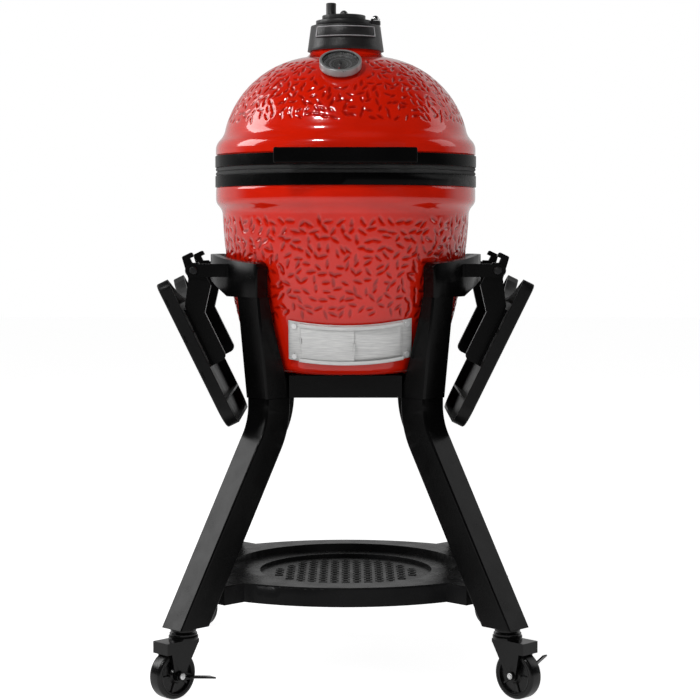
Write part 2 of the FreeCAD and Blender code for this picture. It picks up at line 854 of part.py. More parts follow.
def is_shoulder_top(edge):
    """True for the top edge of a shoulder's free end, which points across the leg."""
    box = edge.BoundBox
    level = box.ZLength < 0.01 and box.ZMin > number("strap_top") - 12
    return level and edge.CenterOfMass.x < number("strap_outer") * 0.6 and box.XLength > 5


def upper_leg_outline(inset):
    """Radius and height of an upper leg's sides; its inner side follows the ceramic base."""
    gap = f"leg_gap + {inset}"
    return [
        (f"leg_inner - 2 + {inset}", "leg_joint"),
        (f"leg_outer + 1 - {inset}", "leg_joint"),
        (f"220 - {inset}", "strap_bottom"),
        (f"{base_radius('strap_bottom')} + {gap}", "strap_bottom"),
        (f"{base_radius('base_bottom + 18')} + {gap}", "base_bottom + 18", "-base_arc_radius"),
    ]


def lower_leg_outline(inset):
    """Radius and height of a lower leg's sides: straight, then splayed beyond the knee."""
    outer = f"leg_outer - 1 - {inset}"
    inner = f"leg_inner + {inset}"
    tangent = "knee_radius * tan(splay / 2)"
    inner_radius = f"knee_radius + ({outer}) - ({inner})"
    outer_knee_x = f"{outer} + {tangent} * sin(splay)"
    outer_knee_z = f"knee_height - {tangent} * (1 + cos(splay))"
    inner_tangent = f"({inner_radius}) * tan(splay / 2)"
    inner_knee_x = f"{inner} + {inner_tangent} * sin(splay)"
    inner_knee_z = f"knee_height - {inner_tangent} * (1 + cos(splay))"
    return [
        (outer, "leg_joint"),
        (outer, "knee_height"),
        (outer_knee_x, outer_knee_z, "knee_radius"),
        (f"{outer_knee_x} + ({outer_knee_z} - leg_bottom) * tan(splay)", "leg_bottom"),
        (f"{inner_knee_x} + ({inner_knee_z} - leg_bottom) * tan(splay)", "leg_bottom"),
        (inner_knee_x, inner_knee_z),
        (inner, "knee_height", f"-({inner_radius})"),
        (inner, "leg_joint"),
    ]


def make_legs():
    for name, angle in CORNERS.items():
        for part, outline in (("upper_leg_", upper_leg_outline), ("lower_leg_", lower_leg_outline)):
            body = new_body(part + name)
            trim = "0" if part == "upper_leg_" else "1"
            width = f"leg_width - 2 * {trim}"
            pad(body, "XZ_Plane", [outline("0")], width, symmetric=True)
            hollow = f"{width} - 2 * leg_sheet"
            cut(body, "XZ_Plane", [outline("leg_sheet")], hollow, symmetric=True)
            half = number(width) / 2
            round_edges(body, 3, lambda edge: is_long_edge(edge, half))
            toward(body, angle)


def make_cradle():
    """An eight-sided ring between the legs; the ceramic base stands on its inner ledge."""
    body = new_body("cradle_frame")

    def octagon(inset):
        flat = f"cradle_half - ({inset})"
        corner = f"sqrt(2) * (leg_inner - 3.5 - ({inset})) - ({flat})"
        return [
            (corner, f"-({flat})"),
            (flat, f"-({corner})"),
            (flat, corner),
            (corner, flat),
            (f"-({corner})", flat),
            (f"-({flat})", corner),
            (f"-({flat})", f"-({corner})"),
            (f"-({corner})", f"-({flat})"),
        ]

    depth = "cradle_top - cradle_bottom"
    pad(body, "XY_Plane", [octagon("0"), octagon("cradle_sheet")], depth, "cradle_bottom")
    pad(body, "XY_Plane", [octagon("1"), octagon("28")], "4", "cradle_top - 4")
    wing = "cradle_half + 4"
    for plate in (
        rectangle("-90.5", f"-({wing})", "90.5", "-cradle_half + 1"),
        rectangle("-90.5", "cradle_half - 1", "90.5", wing),
        rectangle(f"-({wing})", "-90.5", "-cradle_half + 1", "90.5"),
        rectangle("cradle_half - 1", "-90.5", wing, "90.5"),
    ):
        pad(body, "XY_Plane", [plate], f"{depth} - 1", "cradle_bottom")


def make_lower_shelf():
    """A moulded tray with an ear at each leg, a round recess and a deeper well."""
    body = new_body("lower_shelf")

    def outline(inset):
        dip_x, dip_y = "160", f"188 - ({inset})"
        ear_x, ear_y = f"189.5 - ({inset}) * 0.2", f"216.5 - ({inset}) * 1.2"
        quarter = [(dip_x, dip_y), (ear_x, ear_y), (ear_y, ear_x), (dip_y, dip_x)]
        corners = []
        for sx, sy, flip in ((1, -1, False), (1, 1, True), (-1, 1, False), (-1, -1, True)):
            ordered = reversed(quarter) if flip else quarter
            corners += [(f"{sx} * ({x})", f"{sy} * ({y})") for x, y in ordered]
        bow = "((160 ^ 2 + 42 ^ 2) / 84)"
        for k in (0, 4, 8, 12):
            corners[k] = (*corners[k], bow)
        return corners

    low = "shelf_top - shelf_rim"
    pad(body, "XY_Plane", [outline("0")], "shelf_rim", low)
    round_edges(body, 3, lambda edge: edge.BoundBox.ZMin > number("shelf_top") - 0.01)
    cut(body, "XY_Plane", [circle("0", "0", "tray_radius - 4")], "11", "shelf_top - 11")
    cut(body, "XY_Plane", [circle("0", "0", "tray_well")], "8", "shelf_top - 17")
    cut(body, "XY_Plane", [outline("5")], "8", low)


# ---------------------------------------------------------------- folding side shelves


def arm_outline():
    """One support arm with the shelf raised; x and height are counted from the pivot."""
    under = "side_underside - 3"
    return [
        ("28", "8"),
        ("-8", "14"),
        ("-46", under),
        ("-150", under),
        ("-150", "24"),
        ("-140", "14", "10"),
        ("-68", "14"),
        ("-33", "-14"),
        ("8", "-12"),
        ("12", "-3"),
        ("20", "-3"),
        ("20", "-10"),
        ("28", "-10"),
    ]


def is_hook_corner(edge):
    """True for the edges across the plate at the tip and the back of an arm's hook."""
    return edge.CenterOfMass.x > 27.9 and edge.BoundBox.YLength > 5


def make_side_shelf(side, turn):
    """A shelf and its two arms, drawn raised and then folded down about the pivot."""
    tray = new_body("side_shelf_" + side)
    half = "side_half"
    horn = "5"
    far = "-side_reach"

    def outline(inset):
        return [
            (f"{horn} - 14", f"-({half}) + {inset}"),
            (f"{horn} - {inset}", f"-({half}) + 14", f"14 - {inset}"),
            (f"{horn} - 8 - {inset}", f"-({half}) + 34"),
            (f"{horn} - 8 - {inset}", f"{half} - 34", "-(121 ^ 2 + 30 ^ 2) / 60"),
            (f"{horn} - {inset}", f"{half} - 14"),
            (f"{horn} - 14", f"{half} - {inset}", f"14 - {inset}"),
            (f"{far} + 34", f"{half} - {inset}"),
            (f"{far} + {inset}", f"{half} - 34", f"34 - {inset}"),
            (f"{far} + {inset}", f"-({half}) + 34"),
            (f"{far} + 34", f"-({half}) + {inset}", f"34 - {inset}"),
        ]

    pad(tray, "XY_Plane", [outline("0")], "side_thickness", "side_underside")
    top = number("side_underside + side_thickness")
    round_edges(tray, 3, lambda edge: edge.BoundBox.ZMin > top - 0.01)
    cut(tray, "XY_Plane", [outline("5")], "side_thickness - 6", "side_underside")
    for x in ("-150", "-90", "-210"):
        rib = rectangle(x, f"-({half}) + 3", f"{x} + 3", f"{half} - 3")
        pad(tray, "XY_Plane", [rib], "side_thickness - 2", "side_underside")
    for x in ("-29", "-93", "-157"):
        notch = rectangle(f"{x} - 6", f"-({half}) - 1", f"{x} + 6", f"-({half}) + 3")
        cut(tray, "XY_Plane", [notch], "3", "side_underside + side_thickness - 6.5")

    arms = []
    for end in (-1, 1):
        arm = doc.addObject("PartDesign::Body", "shelf_arm")
        spot = f"{-end} * arm_y - arm_plate / 2"
        pad(arm, "XZ_Plane", [arm_outline()], "arm_plate", spot)
        flange = rectangle("-150", f"{end} * arm_y - 15", "-50", f"{end} * arm_y + 15")
        pad(arm, "XY_Plane", [flange], "3", "side_underside - 3")
        eye = circle("0", "0", "pivot_radius + running")
        cut(arm, "XZ_Plane", [eye], "400", "-200")
        round_edges(arm, 3, is_hook_corner)
        arms.append(arm)
    pair = group("shelf_arms_" + side, arms)

    fold = FreeCAD.Placement(Vector(0, 0, 0), FreeCAD.Rotation(Y_AXIS, -number("side_folded")))
    pivot = FreeCAD.Placement(
        Vector(number("-pivot_x"), 0, number("pivot_height")), FreeCAD.Rotation()
    )
    spin = FreeCAD.Placement(Vector(0, 0, 0), FreeCAD.Rotation(Z_AXIS, turn))
    for piece in (tray, pair):
        piece.Placement = spin * pivot * fold


def make_shelf_brackets(side, turn):
    """Two brackets, bolted to the strap, that hold a shelf's pivots."""
    plates = []
    for end in (-1, 1):
        bracket = doc.addObject("PartDesign::Body", "shelf_bracket")
        near = "arm_y + arm_plate / 2 + 1"
        spot = near if end < 0 else f"-({near}) - 6"
        outline = [
            ("-150", "pivot_height - 10.5"),
            ("-150", "pivot_height + 10.5"),
            ("-pivot_x - 3", "pivot_height + 10.5"),
            ("-pivot_x - 3", "pivot_height - 10.5", "10.5"),
        ]
        pad(bracket, "XZ_Plane", [outline], "6", spot)
        start, stop = ("-68", "-57") if end < 0 else ("-123", "-112")
        foot = sector("strap_outer + 0.3", "strap_outer + 4.3", start, stop)
        pad(bracket, "XY_Plane", [foot], "21", "pivot_height - 10.5")
        cut(bracket, "XY_Plane", [circle("0", "0", "strap_outer + 0.3")], "23", "pivot_height - 11.5")
        eye = circle("-pivot_x", "pivot_height", "pivot_radius + running")
        cut(bracket, "XZ_Plane", [eye], "400", "-200")
        plates.append(bracket)
    pair = group("shelf_brackets_" + side, plates)
    place(pair, ("0", "0", "0"), Z_AXIS, turn)


def make_shelf_bolts():
    """The four pivot bolts, headed on the outer side of their brackets."""
    bolts = []
    start = "arm_y - arm_plate / 2 - 2"
    for x in (-1, 1):
        for y in (-1, 1):
            bolt = doc.addObject("PartDesign::Body", "pivot_bolt")
            shank = circle("0", "0", "pivot_radius")
            pad(bolt, "XY_Plane", [shank], "arm_plate + 11", start)
            pad(bolt, "XY_Plane", [circle("0", "0", "6.5")], "4", f"{start} + arm_plate + 9.2")
            round_edges(bolt, 2, is_head_rim)
            place(bolt, (f"{x} * pivot_x", "0", "pivot_height"), X_AXIS, 90 if y < 0 else -90)
            bolts.append(bolt)
    group("shelf_pivot_bolts", bolts)


def is_head_rim(edge):
    """True for the outer rim of a pivot bolt's head."""
    return edge.BoundBox.ZMin > number("arm_y + arm_plate / 2 + 11.1")


def make_frame_bolts():
    """Bolt heads that hold the shelf brackets' feet to the straps."""
    heads = []
    for middle in (-63, -117, 63, 117):
        for offset in (-2.3, 2.3):
            angle = middle + offset
            heads.append(bolt_head("4", "2.8", "strap_outer + 4.3", angle, "pivot_height"))
    group("frame_bolts", heads)


# ---------------------------------------------------------------- casters


def make_casters():
    stems = []
    for name, angle in CORNERS.items():
        reach = "caster_place * sqrt(2)"
        stem = doc.addObject("PartDesign::Body", "caster_stem")
        pad(stem, "XY_Plane", [circle("0", "0", "20")], "4.2", "leg_bottom - 4.5")
        pad(stem, "XY_Plane", [circle("0", "0", "5")], "18", "leg_bottom - 22")
        toward(stem, angle, reach)
        stems.append(stem)

        fork = new_body("caster_fork_" + name)
        pad(fork, "XY_Plane", [circle("0", "0", "17.5")], "3.1", "99")
        pad(fork, "XY_Plane", [circle("0", "0", "21.5")], "3", "96.4")
        pad(fork, "XY_Plane", [circle("0", "0", "19.5")], "1.4", "95")
        pad(fork, "XY_Plane", [circle("0", "0", "23")], "5", "90")
        crown = rectangle("-17", "-17.4", "46", "17.4")
        pad(fork, "XY_Plane", [crown], "6", "84.2")
        pad(fork, "XY_Plane", [rectangle("43", "-17.4", "46", "17.4")], "13", "72")
        cheek = [
            ("-17", "86"),
            ("caster_trail - 8", "caster_wheel - 4"),
            ("caster_trail + 8", "caster_wheel - 4", "8.9"),
            ("37", "72"),
            ("46", "72"),
            ("46", "86"),
        ]
        for low in ("-17.4", "14.2"):
            pad(fork, "XZ_Plane", [cheek], "3.2", low)
        cut(fork, "XY_Plane", [circle("0", "0", "5 + running")], "30", "80")
        axle = circle("caster_trail", "caster_wheel", "axle_radius")
        pad(fork, "XZ_Plane", [axle], "44", symmetric=True)
        nut = circle("caster_trail", "caster_wheel", "6.5")
        pedal_side = "-24" if name.startswith("front") else "-20.2"
        for low in (pedal_side, "17.4"):
            pad(fork, "XZ_Plane", [nut], "2.8", low)
        toward(fork, angle, reach)

        half = "caster_tread / 2"
        wheel = lathe(
            "caster_wheel_" + name,
            [
                ("axle_radius + running", f"-({half}) - 1"),
                ("11", f"-({half}) - 1"),
                ("13", "-9"),
                ("26", "-7.5"),
                ("28.5", f"-({half})"),
                ("caster_wheel - 5", f"-({half})"),
                ("caster_wheel", f"-({half}) + 5", "5"),
                ("caster_wheel", f"{half} - 5"),
                ("caster_wheel - 5", half, "5"),
                ("28.5", half),
                ("26", "7.5"),
                ("13", "9"),
                ("11", f"{half} + 1"),
                ("axle_radius + running", f"{half} + 1"),
            ],
        )
        turn = math.radians(angle - 90)
        spot = f"({reach}) + caster_trail"
        at = FreeCAD.Placement(
            Vector(
                number(spot) * math.cos(turn), number(spot) * math.sin(turn), number("caster_wheel")
            ),
            FreeCAD.Rotation(Z_AXIS, angle - 90),
        )
        wheel.Placement = at * FreeCAD.Placement(Vector(0, 0, 0), FreeCAD.Rotation(X_AXIS, 90))
    group("caster_stems", stems)

    make_brake_levers()


def make_brake_levers():
    """Pedals on the front axles: the left one is pressed down, the right one stands up behind."""
    levers = (("front_left", 170, "60", "16"), ("front_right", -42, "46", "10"))
    for name, lift, reach, width in levers:
        lever = new_body("brake_lever_" + name)
        plate = [("0", "-8", "8"), ("20", "-4"), ("20", "4"), ("0", "8")]
        pad(lever, "XZ_Plane", [plate], "2.6", "-20.6")
        blade = rectangle("10", "-1.3", reach, "1.3")
        pad(lever, "XZ_Plane", [blade], width, f"-18 - {width}")
        cut(lever, "XZ_Plane", [circle("0", "0", "axle_radius + running")], "6", "-22")
        angle = CORNERS[name]
        turn = math.radians(angle - 90)
        spot = number("caster_place * sqrt(2) + caster_trail")
        at = FreeCAD.Placement(
            Vector(spot * math.cos(turn), spot * math.sin(turn), number("caster_wheel")),
            FreeCAD.Rotation(Z_AXIS, angle - 90),
        )
        lever.Placement = at * FreeCAD.Placement(Vector(0, 0, 0), FreeCAD.Rotation(Y_AXIS, lift))


# ---------------------------------------------------------------- build, check and write

make_ceramic_base()
make_ceramic_dome()
make_bands()
make_gaskets()
make_handle()
make_hinge()
make_hinge_springs()
make_vent()
make_thermometer()
make_draft_door()
make_fire_parts()
make_straps()
make_legs()
make_cradle()
make_lower_shelf()
for shelf_side, half_turn in (("left", 0), ("right", 180)):
    make_side_shelf(shelf_side, half_turn)
    make_shelf_brackets(shelf_side, half_turn)
make_shelf_bolts()
make_frame_bolts()
make_casters()
doc.recompute()

for item in doc.Objects:
    if {"Invalid", "Error"} & set(item.State):
        raise RuntimeError(f"{item.Label} is {item.State}")
broken = [
    name
    for name, thing in NODES.items()
    if thing.Shape.isNull() or not thing.Shape.isValid() or not thing.Shape.Solids
]
if broken:
    raise RuntimeError(f"no valid solid in {broken}")

os.makedirs("parts", exist_ok=True)
for name, thing in NODES.items():
    thing.Shape.exportStep(f"parts/{name}.step")
print(len(NODES), "nodes")
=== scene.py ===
"""Kamado ceramic grill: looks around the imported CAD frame, and a studio with the main camera.

Metres, +Z up, the front faces -Y. The CAD nodes stay where they are. Some are shown as they are,
with rounded edges; the ceramic shells, gaskets, wheels and small trim are shown by finer pieces.
"""

import json
import math
import random

import bmesh
import bpy
import numpy as np
from mathutils import Matrix, Vector


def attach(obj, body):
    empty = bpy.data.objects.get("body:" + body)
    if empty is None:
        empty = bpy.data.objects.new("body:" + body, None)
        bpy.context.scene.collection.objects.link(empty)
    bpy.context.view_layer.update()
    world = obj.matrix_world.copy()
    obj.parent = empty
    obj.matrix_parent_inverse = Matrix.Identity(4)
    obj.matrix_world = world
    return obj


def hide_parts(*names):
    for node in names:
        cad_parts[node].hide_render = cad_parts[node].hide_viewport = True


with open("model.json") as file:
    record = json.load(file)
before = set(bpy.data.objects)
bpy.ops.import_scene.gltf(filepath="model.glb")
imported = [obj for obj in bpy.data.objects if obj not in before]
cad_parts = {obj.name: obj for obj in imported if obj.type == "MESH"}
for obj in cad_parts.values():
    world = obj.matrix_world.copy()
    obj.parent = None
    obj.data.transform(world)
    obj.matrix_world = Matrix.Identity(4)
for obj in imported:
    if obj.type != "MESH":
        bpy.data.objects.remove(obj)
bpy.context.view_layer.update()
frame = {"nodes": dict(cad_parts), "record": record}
NODES = frame["nodes"]
MM = 0.001
CORNERS = {"front_right": 45, "rear_right": 135, "rear_left": 225, "front_left": 315}


# ---------------------------------------------------------------- materials


def node_material(name, colour, roughness, **sockets):
    """A Principled material; returns (material, its node tree, its shader)."""
    material = bpy.data.materials.new(name)
    material.use_nodes = True
    tree = material.node_tree
    shader = tree.nodes["Principled BSDF"]
    shader.inputs["Base Color"].default_value = (*colour, 1)
    shader.inputs["Roughness"].default_value = roughness
    for socket, value in sockets.items():
        shader.inputs[socket.replace("_", " ")].default_value = value
    return material, tree, shader


def noise(tree, scale, detail=3.0, stretch=(1, 1, 1)):
    """A noise texture in object space; stretch squeezes it along an axis."""
    where = tree.nodes.new("ShaderNodeTexCoord")
    mapping = tree.nodes.new("ShaderNodeMapping")
    mapping.inputs["Scale"].default_value = stretch
    texture = tree.nodes.new("ShaderNodeTexNoise")
    texture.inputs["Scale"].default_value = scale
    texture.inputs["Detail"].default_value = detail
    tree.links.new(where.outputs["Object"], mapping.inputs["Vector"])
    tree.links.new(mapping.outputs["Vector"], texture.inputs["Vector"])
    return texture.outputs["Fac"]


def ramp(tree, source, low, high, start=0.0, stop=1.0):
    """Maps a 0..1 value to a colour or grey between low and high."""
    node = tree.nodes.new("ShaderNodeValToRGB")
    first, last = node.color_ramp.elements
    first.position, last.position = start, stop
    first.color = (*low, 1) if isinstance(low, tuple) else (low, low, low, 1)
    last.color = (*high, 1) if isinstance(high, tuple) else (high, high, high, 1)
    tree.links.new(source, node.inputs["Fac"])
    return node.outputs["Color"]


def bump(tree, shader, source, distance, strength=1.0):
    """Adds a bump of a real depth, in metres, on top of any bump already there."""
    node = tree.nodes.new("ShaderNodeBump")
    node.inputs["Strength"].default_value = strength
    node.inputs["Distance"].default_value = distance
    tree.links.new(source, node.inputs["Height"])
    normal = shader.inputs["Normal"]
    if normal.is_linked:
        tree.links.new(normal.links[0].from_socket, node.inputs["Normal"])
    tree.links.new(node.outputs["Normal"], normal)


def glaze():
    """Red glaze, darker in the dimples by their depth: painted shade in the recesses."""
    material, tree, shader = node_material(
        "red_glaze", (0.6, 0.02, 0.008), 0.2, Coat_Weight=1.0, Coat_Roughness=0.04, Specular_IOR_Level=0.2
    )
    depth = tree.nodes.new("ShaderNodeAttribute")
    depth.attribute_name = "dimple"
    # painted shade: the base colour darkens with the dimples' depth, from 0.66 red outside them to 0.32 at
    # their deepest
    dimple_shade = ramp(tree, depth.outputs["Fac"], (0.66, 0.012, 0.002), (0.32, 0.004, 0.001))
    cloud = ramp(tree, noise(tree, 14, 4), 0.86, 1.0, 0.3, 0.7)
    blend = tree.nodes.new("ShaderNodeMix")
    blend.data_type = "RGBA"
    blend.blend_type = "MULTIPLY"
    blend.inputs["Factor"].default_value = 1.0
    tree.links.new(dimple_shade, blend.inputs["A"])
    tree.links.new(cloud, blend.inputs["B"])
    tree.links.new(blend.outputs["Result"], shader.inputs["Base Color"])
    tree.links.new(ramp(tree, noise(tree, 60, 3), 0.12, 0.22), shader.inputs["Roughness"])
    bump(tree, shader, noise(tree, 170, 2), 0.00008, 0.35)
    return material


def stoneware():
    """Unglazed refractory with fine dark grog."""
    material, tree, shader = node_material("raw_ceramic", (0.6, 0.5, 0.38), 0.9)
    grain = noise(tree, 420, 4)
    speckle = ramp(tree, grain, (0.33, 0.26, 0.19), (0.66, 0.56, 0.44), 0.32, 0.6)
    tree.links.new(speckle, shader.inputs["Base Color"])
    bump(tree, shader, grain, 0.0005, 0.6)
    return material


def coating(name, grey, roughness, grain_scale, grain_depth, spread=0.06, **sockets):
    """A dark coating or moulding with an even grain and slightly uneven gloss."""
    material, tree, shader = node_material(name, (grey, grey, grey * 1.03), roughness, **sockets)
    cloud = noise(tree, 9, 5)
    low, high = grey * 0.75, grey * 1.35
    tint = ramp(tree, cloud, (low, low, low * 1.03), (high, high, high * 1.03), 0.3, 0.7)
    tree.links.new(tint, shader.inputs["Base Color"])
    gloss = ramp(tree, noise(tree, 35, 3), roughness - spread, roughness + spread, 0.3, 0.7)
    tree.links.new(gloss, shader.inputs["Roughness"])
    bump(tree, shader, noise(tree, grain_scale, 2), grain_depth, 0.7)
    return material


def brushed(name, grey, roughness, stretch, scratch=0.00006, metallic=1.0):
    """Brushed metal: streaks that run along the axes that stretch leaves short."""
    material, tree, shader = node_material(name, (grey, grey, grey), roughness, Metallic=metallic)
    streaks = noise(tree, 900, 3, stretch)
    light = (grey * 1.12, grey * 1.12, grey * 1.1)
    dark = (grey * 0.8, grey * 0.8, grey * 0.8)
    tree.links.new(ramp(tree, streaks, dark, light, 0.3, 0.7), shader.inputs["Base Color"])
    tree.links.new(ramp(tree, streaks, roughness - 0.08, roughness + 0.1), shader.inputs["Roughness"])
    bump(tree, shader, streaks, scratch, 0.6)
    return material


def polished(name, grey, roughness, metallic=1.0):
    """Bright metal with faint smears."""
    material, tree, shader = node_material(name, (grey, grey, grey * 0.98), roughness, Metallic=metallic)
    smear = noise(tree, 120, 4)
    tree.links.new(ramp(tree, smear, roughness * 0.6, roughness * 1.6), shader.inputs["Roughness"])
    tree.links.new(ramp(tree, smear, grey * 0.85, min(grey * 1.1, 1.0)), shader.inputs["Base Color"])
    return material


def iron():
    """Dark cast iron with a coarse grain."""
    material, tree, shader = node_material("cast_iron_grey", (0.06, 0.06, 0.06), 0.65, Metallic=0.5)
    grain = noise(tree, 500, 4)
    tree.links.new(ramp(tree, grain, 0.03, 0.09, 0.3, 0.7), shader.inputs["Base Color"])
    bump(tree, shader, grain, 0.0004, 0.8)
    return material


def rope_felt():
    """Black fibre, slightly fuzzy."""
    material, tree, shader = node_material("felt_rope", (0.012, 0.012, 0.013), 0.95, Sheen_Weight=0.15)
    fibre = noise(tree, 1500, 3)
    tree.links.new(ramp(tree, fibre, 0.006, 0.03, 0.35, 0.7), shader.inputs["Base Color"])
    bump(tree, shader, fibre, 0.0004, 0.8)
    return material


def paper():
    """The dial's face, faintly mottled."""
    material, tree, shader = node_material("dial_paper", (0.16, 0.16, 0.155), 0.45)
    tree.links.new(ramp(tree, noise(tree, 900, 3), 0.02, 0.12, 0.4, 0.68), shader.inputs["Base Color"])
    return material


def lens_glass():
    """The gauge's clear window."""
    material, tree, shader = node_material("clear_lens", (1, 1, 1), 0.02, Transmission_Weight=1.0, IOR=1.3)
    tree.links.new(ramp(tree, noise(tree, 90, 2), 0.01, 0.05), shader.inputs["Roughness"])
    return material


def red_paint():
    """The dial's red mark."""
    material, tree, shader = node_material("red_mark", (0.6, 0.02, 0.02), 0.4)
    tint = ramp(tree, noise(tree, 200, 2), (0.5, 0.015, 0.015), (0.65, 0.03, 0.025))
    tree.links.new(tint, shader.inputs["Base Color"])
    return material


GLAZE = glaze()
RAW = stoneware()
BAND = coating("band_coat", 0.002, 0.26, 900, 0.00004, 0.04, Specular_IOR_Level=0.05)
CART = coating("cart_coat", 0.002, 0.24, 1100, 0.00005, 0.04, Specular_IOR_Level=0.15)
VENT = coating("vent_cast", 0.012, 0.36, 620, 0.0005, 0.06)
SHELF = coating("shelf_mould", 0.0045, 0.38, 1300, 0.00012, 0.05, Specular_IOR_Level=0.2)
TRAY = coating("tray_mould", 0.008, 0.26, 1300, 0.00008, 0.05, Specular_IOR_Level=0.06)
CASTER = coating("caster_coat", 0.0015, 0.2, 500, 0.00004, 0.05, Specular_IOR_Level=0.3)
TREAD = coating("wheel_tread", 0.003, 0.26, 800, 0.00006, 0.05, Specular_IOR_Level=0.35)
DARK_BOLT = coating("dark_bolt", 0.03, 0.35, 900, 0.00005, 0.05, Metallic=0.8)
DOOR_STEEL = brushed("door_steel", 0.66, 0.38, (0.05, 0.05, 1), 0.00003, 0.3)
STEEL = brushed("plain_steel", 0.6, 0.28, (1, 0.04, 0.04))
CHROME = polished("bright_metal", 0.85, 0.2)
BEZEL = polished("bezel_metal", 0.36, 0.3, 0.6)
ZINC = polished("zinc_screw", 0.8, 0.3, 0.5)
SPRING = polished("spring_metal", 0.3, 0.3)
IRON = iron()
FELT = rope_felt()
PAPER = paper()
LENS = lens_glass()
BLACK = coating("gauge_black", 0.01, 0.4, 600, 0.00003)
RED_MARK = red_paint()
PALE = coating("pale_trim", 0.34, 0.35, 500, 0.00004)

PAINT = {
    "felt": FELT,
    "raw_ceramic": RAW,
    "band_steel": BAND,
    "cart_steel": CART,
    "stainless": DOOR_STEEL,
    "bright_fastener": CHROME,
    "dark_fastener": DARK_BOLT,
    "cast_vent": VENT,
    "cast_grate": IRON,
    "moulded_shelf": SHELF,
    "caster_steel": CASTER,
    "caster_wheel": TREAD,
    "dial_face": PAPER,
    "clear_lens": LENS,
    "needle_paint": BLACK,
    "spring_steel": SPRING,
    "glazed_shell": GLAZE,
}
# Nodes that look unlike the rest of their slot.
OWN_PAINT = {
    "thermometer_case": BEZEL,
    "cooking_grate": STEEL,
    "deflector_rack": STEEL,
    "draft_screws": ZINC,
    "lower_shelf": TRAY,
}
# How far the edges of a slot's nodes are rounded in the render, in metres.
ROUNDED = {
    "cart_steel": 0.0009,
    "moulded_shelf": 0.0008,
    "cast_vent": 0.0006,
    "stainless": 0.0003,
    "band_steel": 0.0006,
    "caster_steel": 0.0006,
    "dark_fastener": 0.0005,
    "raw_ceramic": 0.0012,
}


def paint_cad():
    """Gives each CAD node its material, and a real rounded edge by modifiers."""
    for part in frame["record"]["subparts"]:
        name, slot = part["node"], part["material_slot"]
        shown = NODES[name]
        shown.data.materials.clear()
        shown.data.materials.append(OWN_PAINT.get(name, PAINT[slot]))
        if slot in ROUNDED:
            weld = shown.modifiers.new("weld", "WELD")
            weld.merge_threshold = 1e-6
            edge = shown.modifiers.new("edge", "BEVEL")
            edge.width = ROUNDED[slot]
            edge.segments = 2
            edge.limit_method = "ANGLE"
            edge.angle_limit = math.radians(38)
            edge.harden_normals = True


# ---------------------------------------------------------------- mesh helpers


def place(name, mesh, body, stands_for=()):
    """Shows a mesh as a piece that rides on a body and may stand for CAD nodes."""
    piece = bpy.data.objects.new(name, mesh)
    bpy.context.collection.objects.link(piece)
    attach(piece, body)
    if stands_for:
        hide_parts(*stands_for)


def from_bmesh(name, bm, body, material, stands_for=(), sharp=35):
    """A piece from a bmesh, smooth but for the edges sharper than an angle in degrees."""
    bmesh.ops.recalc_face_normals(bm, faces=bm.faces)
    mesh = bpy.data.meshes.new(name)
    bm.to_mesh(mesh)
    bm.free()
    mesh.materials.append(material)
    mesh.shade_smooth()
    mesh.set_sharp_from_angle(angle=math.radians(sharp))
    place(name, mesh, body, stands_for)


def arc(start, end, radius, count=24):
    """Points after start up to end on the shorter arc: anticlockwise for a positive radius."""
    (x0, y0), (x1, y1) = start, end
    hx, hy = (x1 - x0) / 2, (y1 - y0) / 2
    half = math.hypot(hx, hy)
    rise = math.sqrt(max(radius * radius - half * half, 0.0)) * (1 if radius > 0 else -1)
    cx, cy = x0 + hx - hy / half * rise, y0 + hy + hx / half * rise
    a0, a1 = math.atan2(y0 - cy, x0 - cx), math.atan2(y1 - cy, x1 - cx)
    turn = (a1 - a0 + math.pi) % (2 * math.pi) - math.pi
    size = abs(radius)
    steps = [a0 + turn * k / count for k in range(1, count + 1)]
    return [(cx + size * math.cos(a), cy + size * math.sin(a)) for a in steps]


def outline(corners):
    """A polyline in metres from corners in millimetres; (r, z, radius) ends an arc."""
    points = [corners[0][:2]]
    for corner in corners[1:]:
        if len(corner) == 3:
            points += arc(points[-1], corner[:2], corner[2])
        else:
            points.append(corner[:2])
    return [(r * MM, z * MM) for r, z in points]


def length_along(points):
    """The length so far at each point of a polyline."""
    return np.concatenate([[0], np.cumsum(np.hypot(*np.diff(points, axis=0).T))])


def resampled(points, count):
    """The polyline at count evenly spaced points."""
    p = np.array(points)
    run = length_along(p)
    at = np.linspace(0, run[-1], count)
    return np.stack([np.interp(at, run, p[:, 0]), np.interp(at, run, p[:, 1])], axis=1)


def graded(*parts):
    """Outlines in millimetres joined end to end, each with its own count of points, and lengths."""
    pieces = [resampled(outline(corners), count) for corners, count in parts]
    points = np.concatenate([pieces[0]] + [piece[1:] for piece in pieces[1:]])
    return points, length_along(points)


def ring_faces(rows, columns, skip=None):
    """Quads of a grid that closes round on itself; skip(row, column) leaves one out."""
    return [
        (
            i * columns + j,
            i * columns + (j + 1) % columns,
            (i + 1) * columns + (j + 1) % columns,
            (i + 1) * columns + j,
        )
        for i in range(rows - 1)
        for j in range(columns)
        if not (skip and skip(i, j))
    ]


def lathe_bmesh(points, columns):
    """A closed solid turned about Z from a closed outline of (radius, height) in metres."""
    bm = bmesh.new()
    rings = []
    for r, z in points:
        if r < 1e-7:
            rings.append([bm.verts.new((0, 0, z))] * columns)
            continue
        rings.append(
            [
                bm.verts.new((r * math.cos(a), r * math.sin(a), z))
                for a in (2 * math.pi * k / columns for k in range(columns))
            ]
        )
    count = len(rings)
    for i in range(count):
        here, there = rings[i], rings[(i + 1) % count]
        if here[0] is here[1] and there[0] is there[1]:
            continue
        for j in range(columns):
            k = (j + 1) % columns
            loop = list(dict.fromkeys((here[j], here[k], there[k], there[j])))
            if len(loop) > 2:
                bm.faces.new(loop)
    return bm


def bevel(bm, edges, offset):
    """Rounds edges by two facets."""
    bmesh.ops.bevel(bm, geom=edges, offset=offset, segments=2, affect="EDGES", profile=0.5)


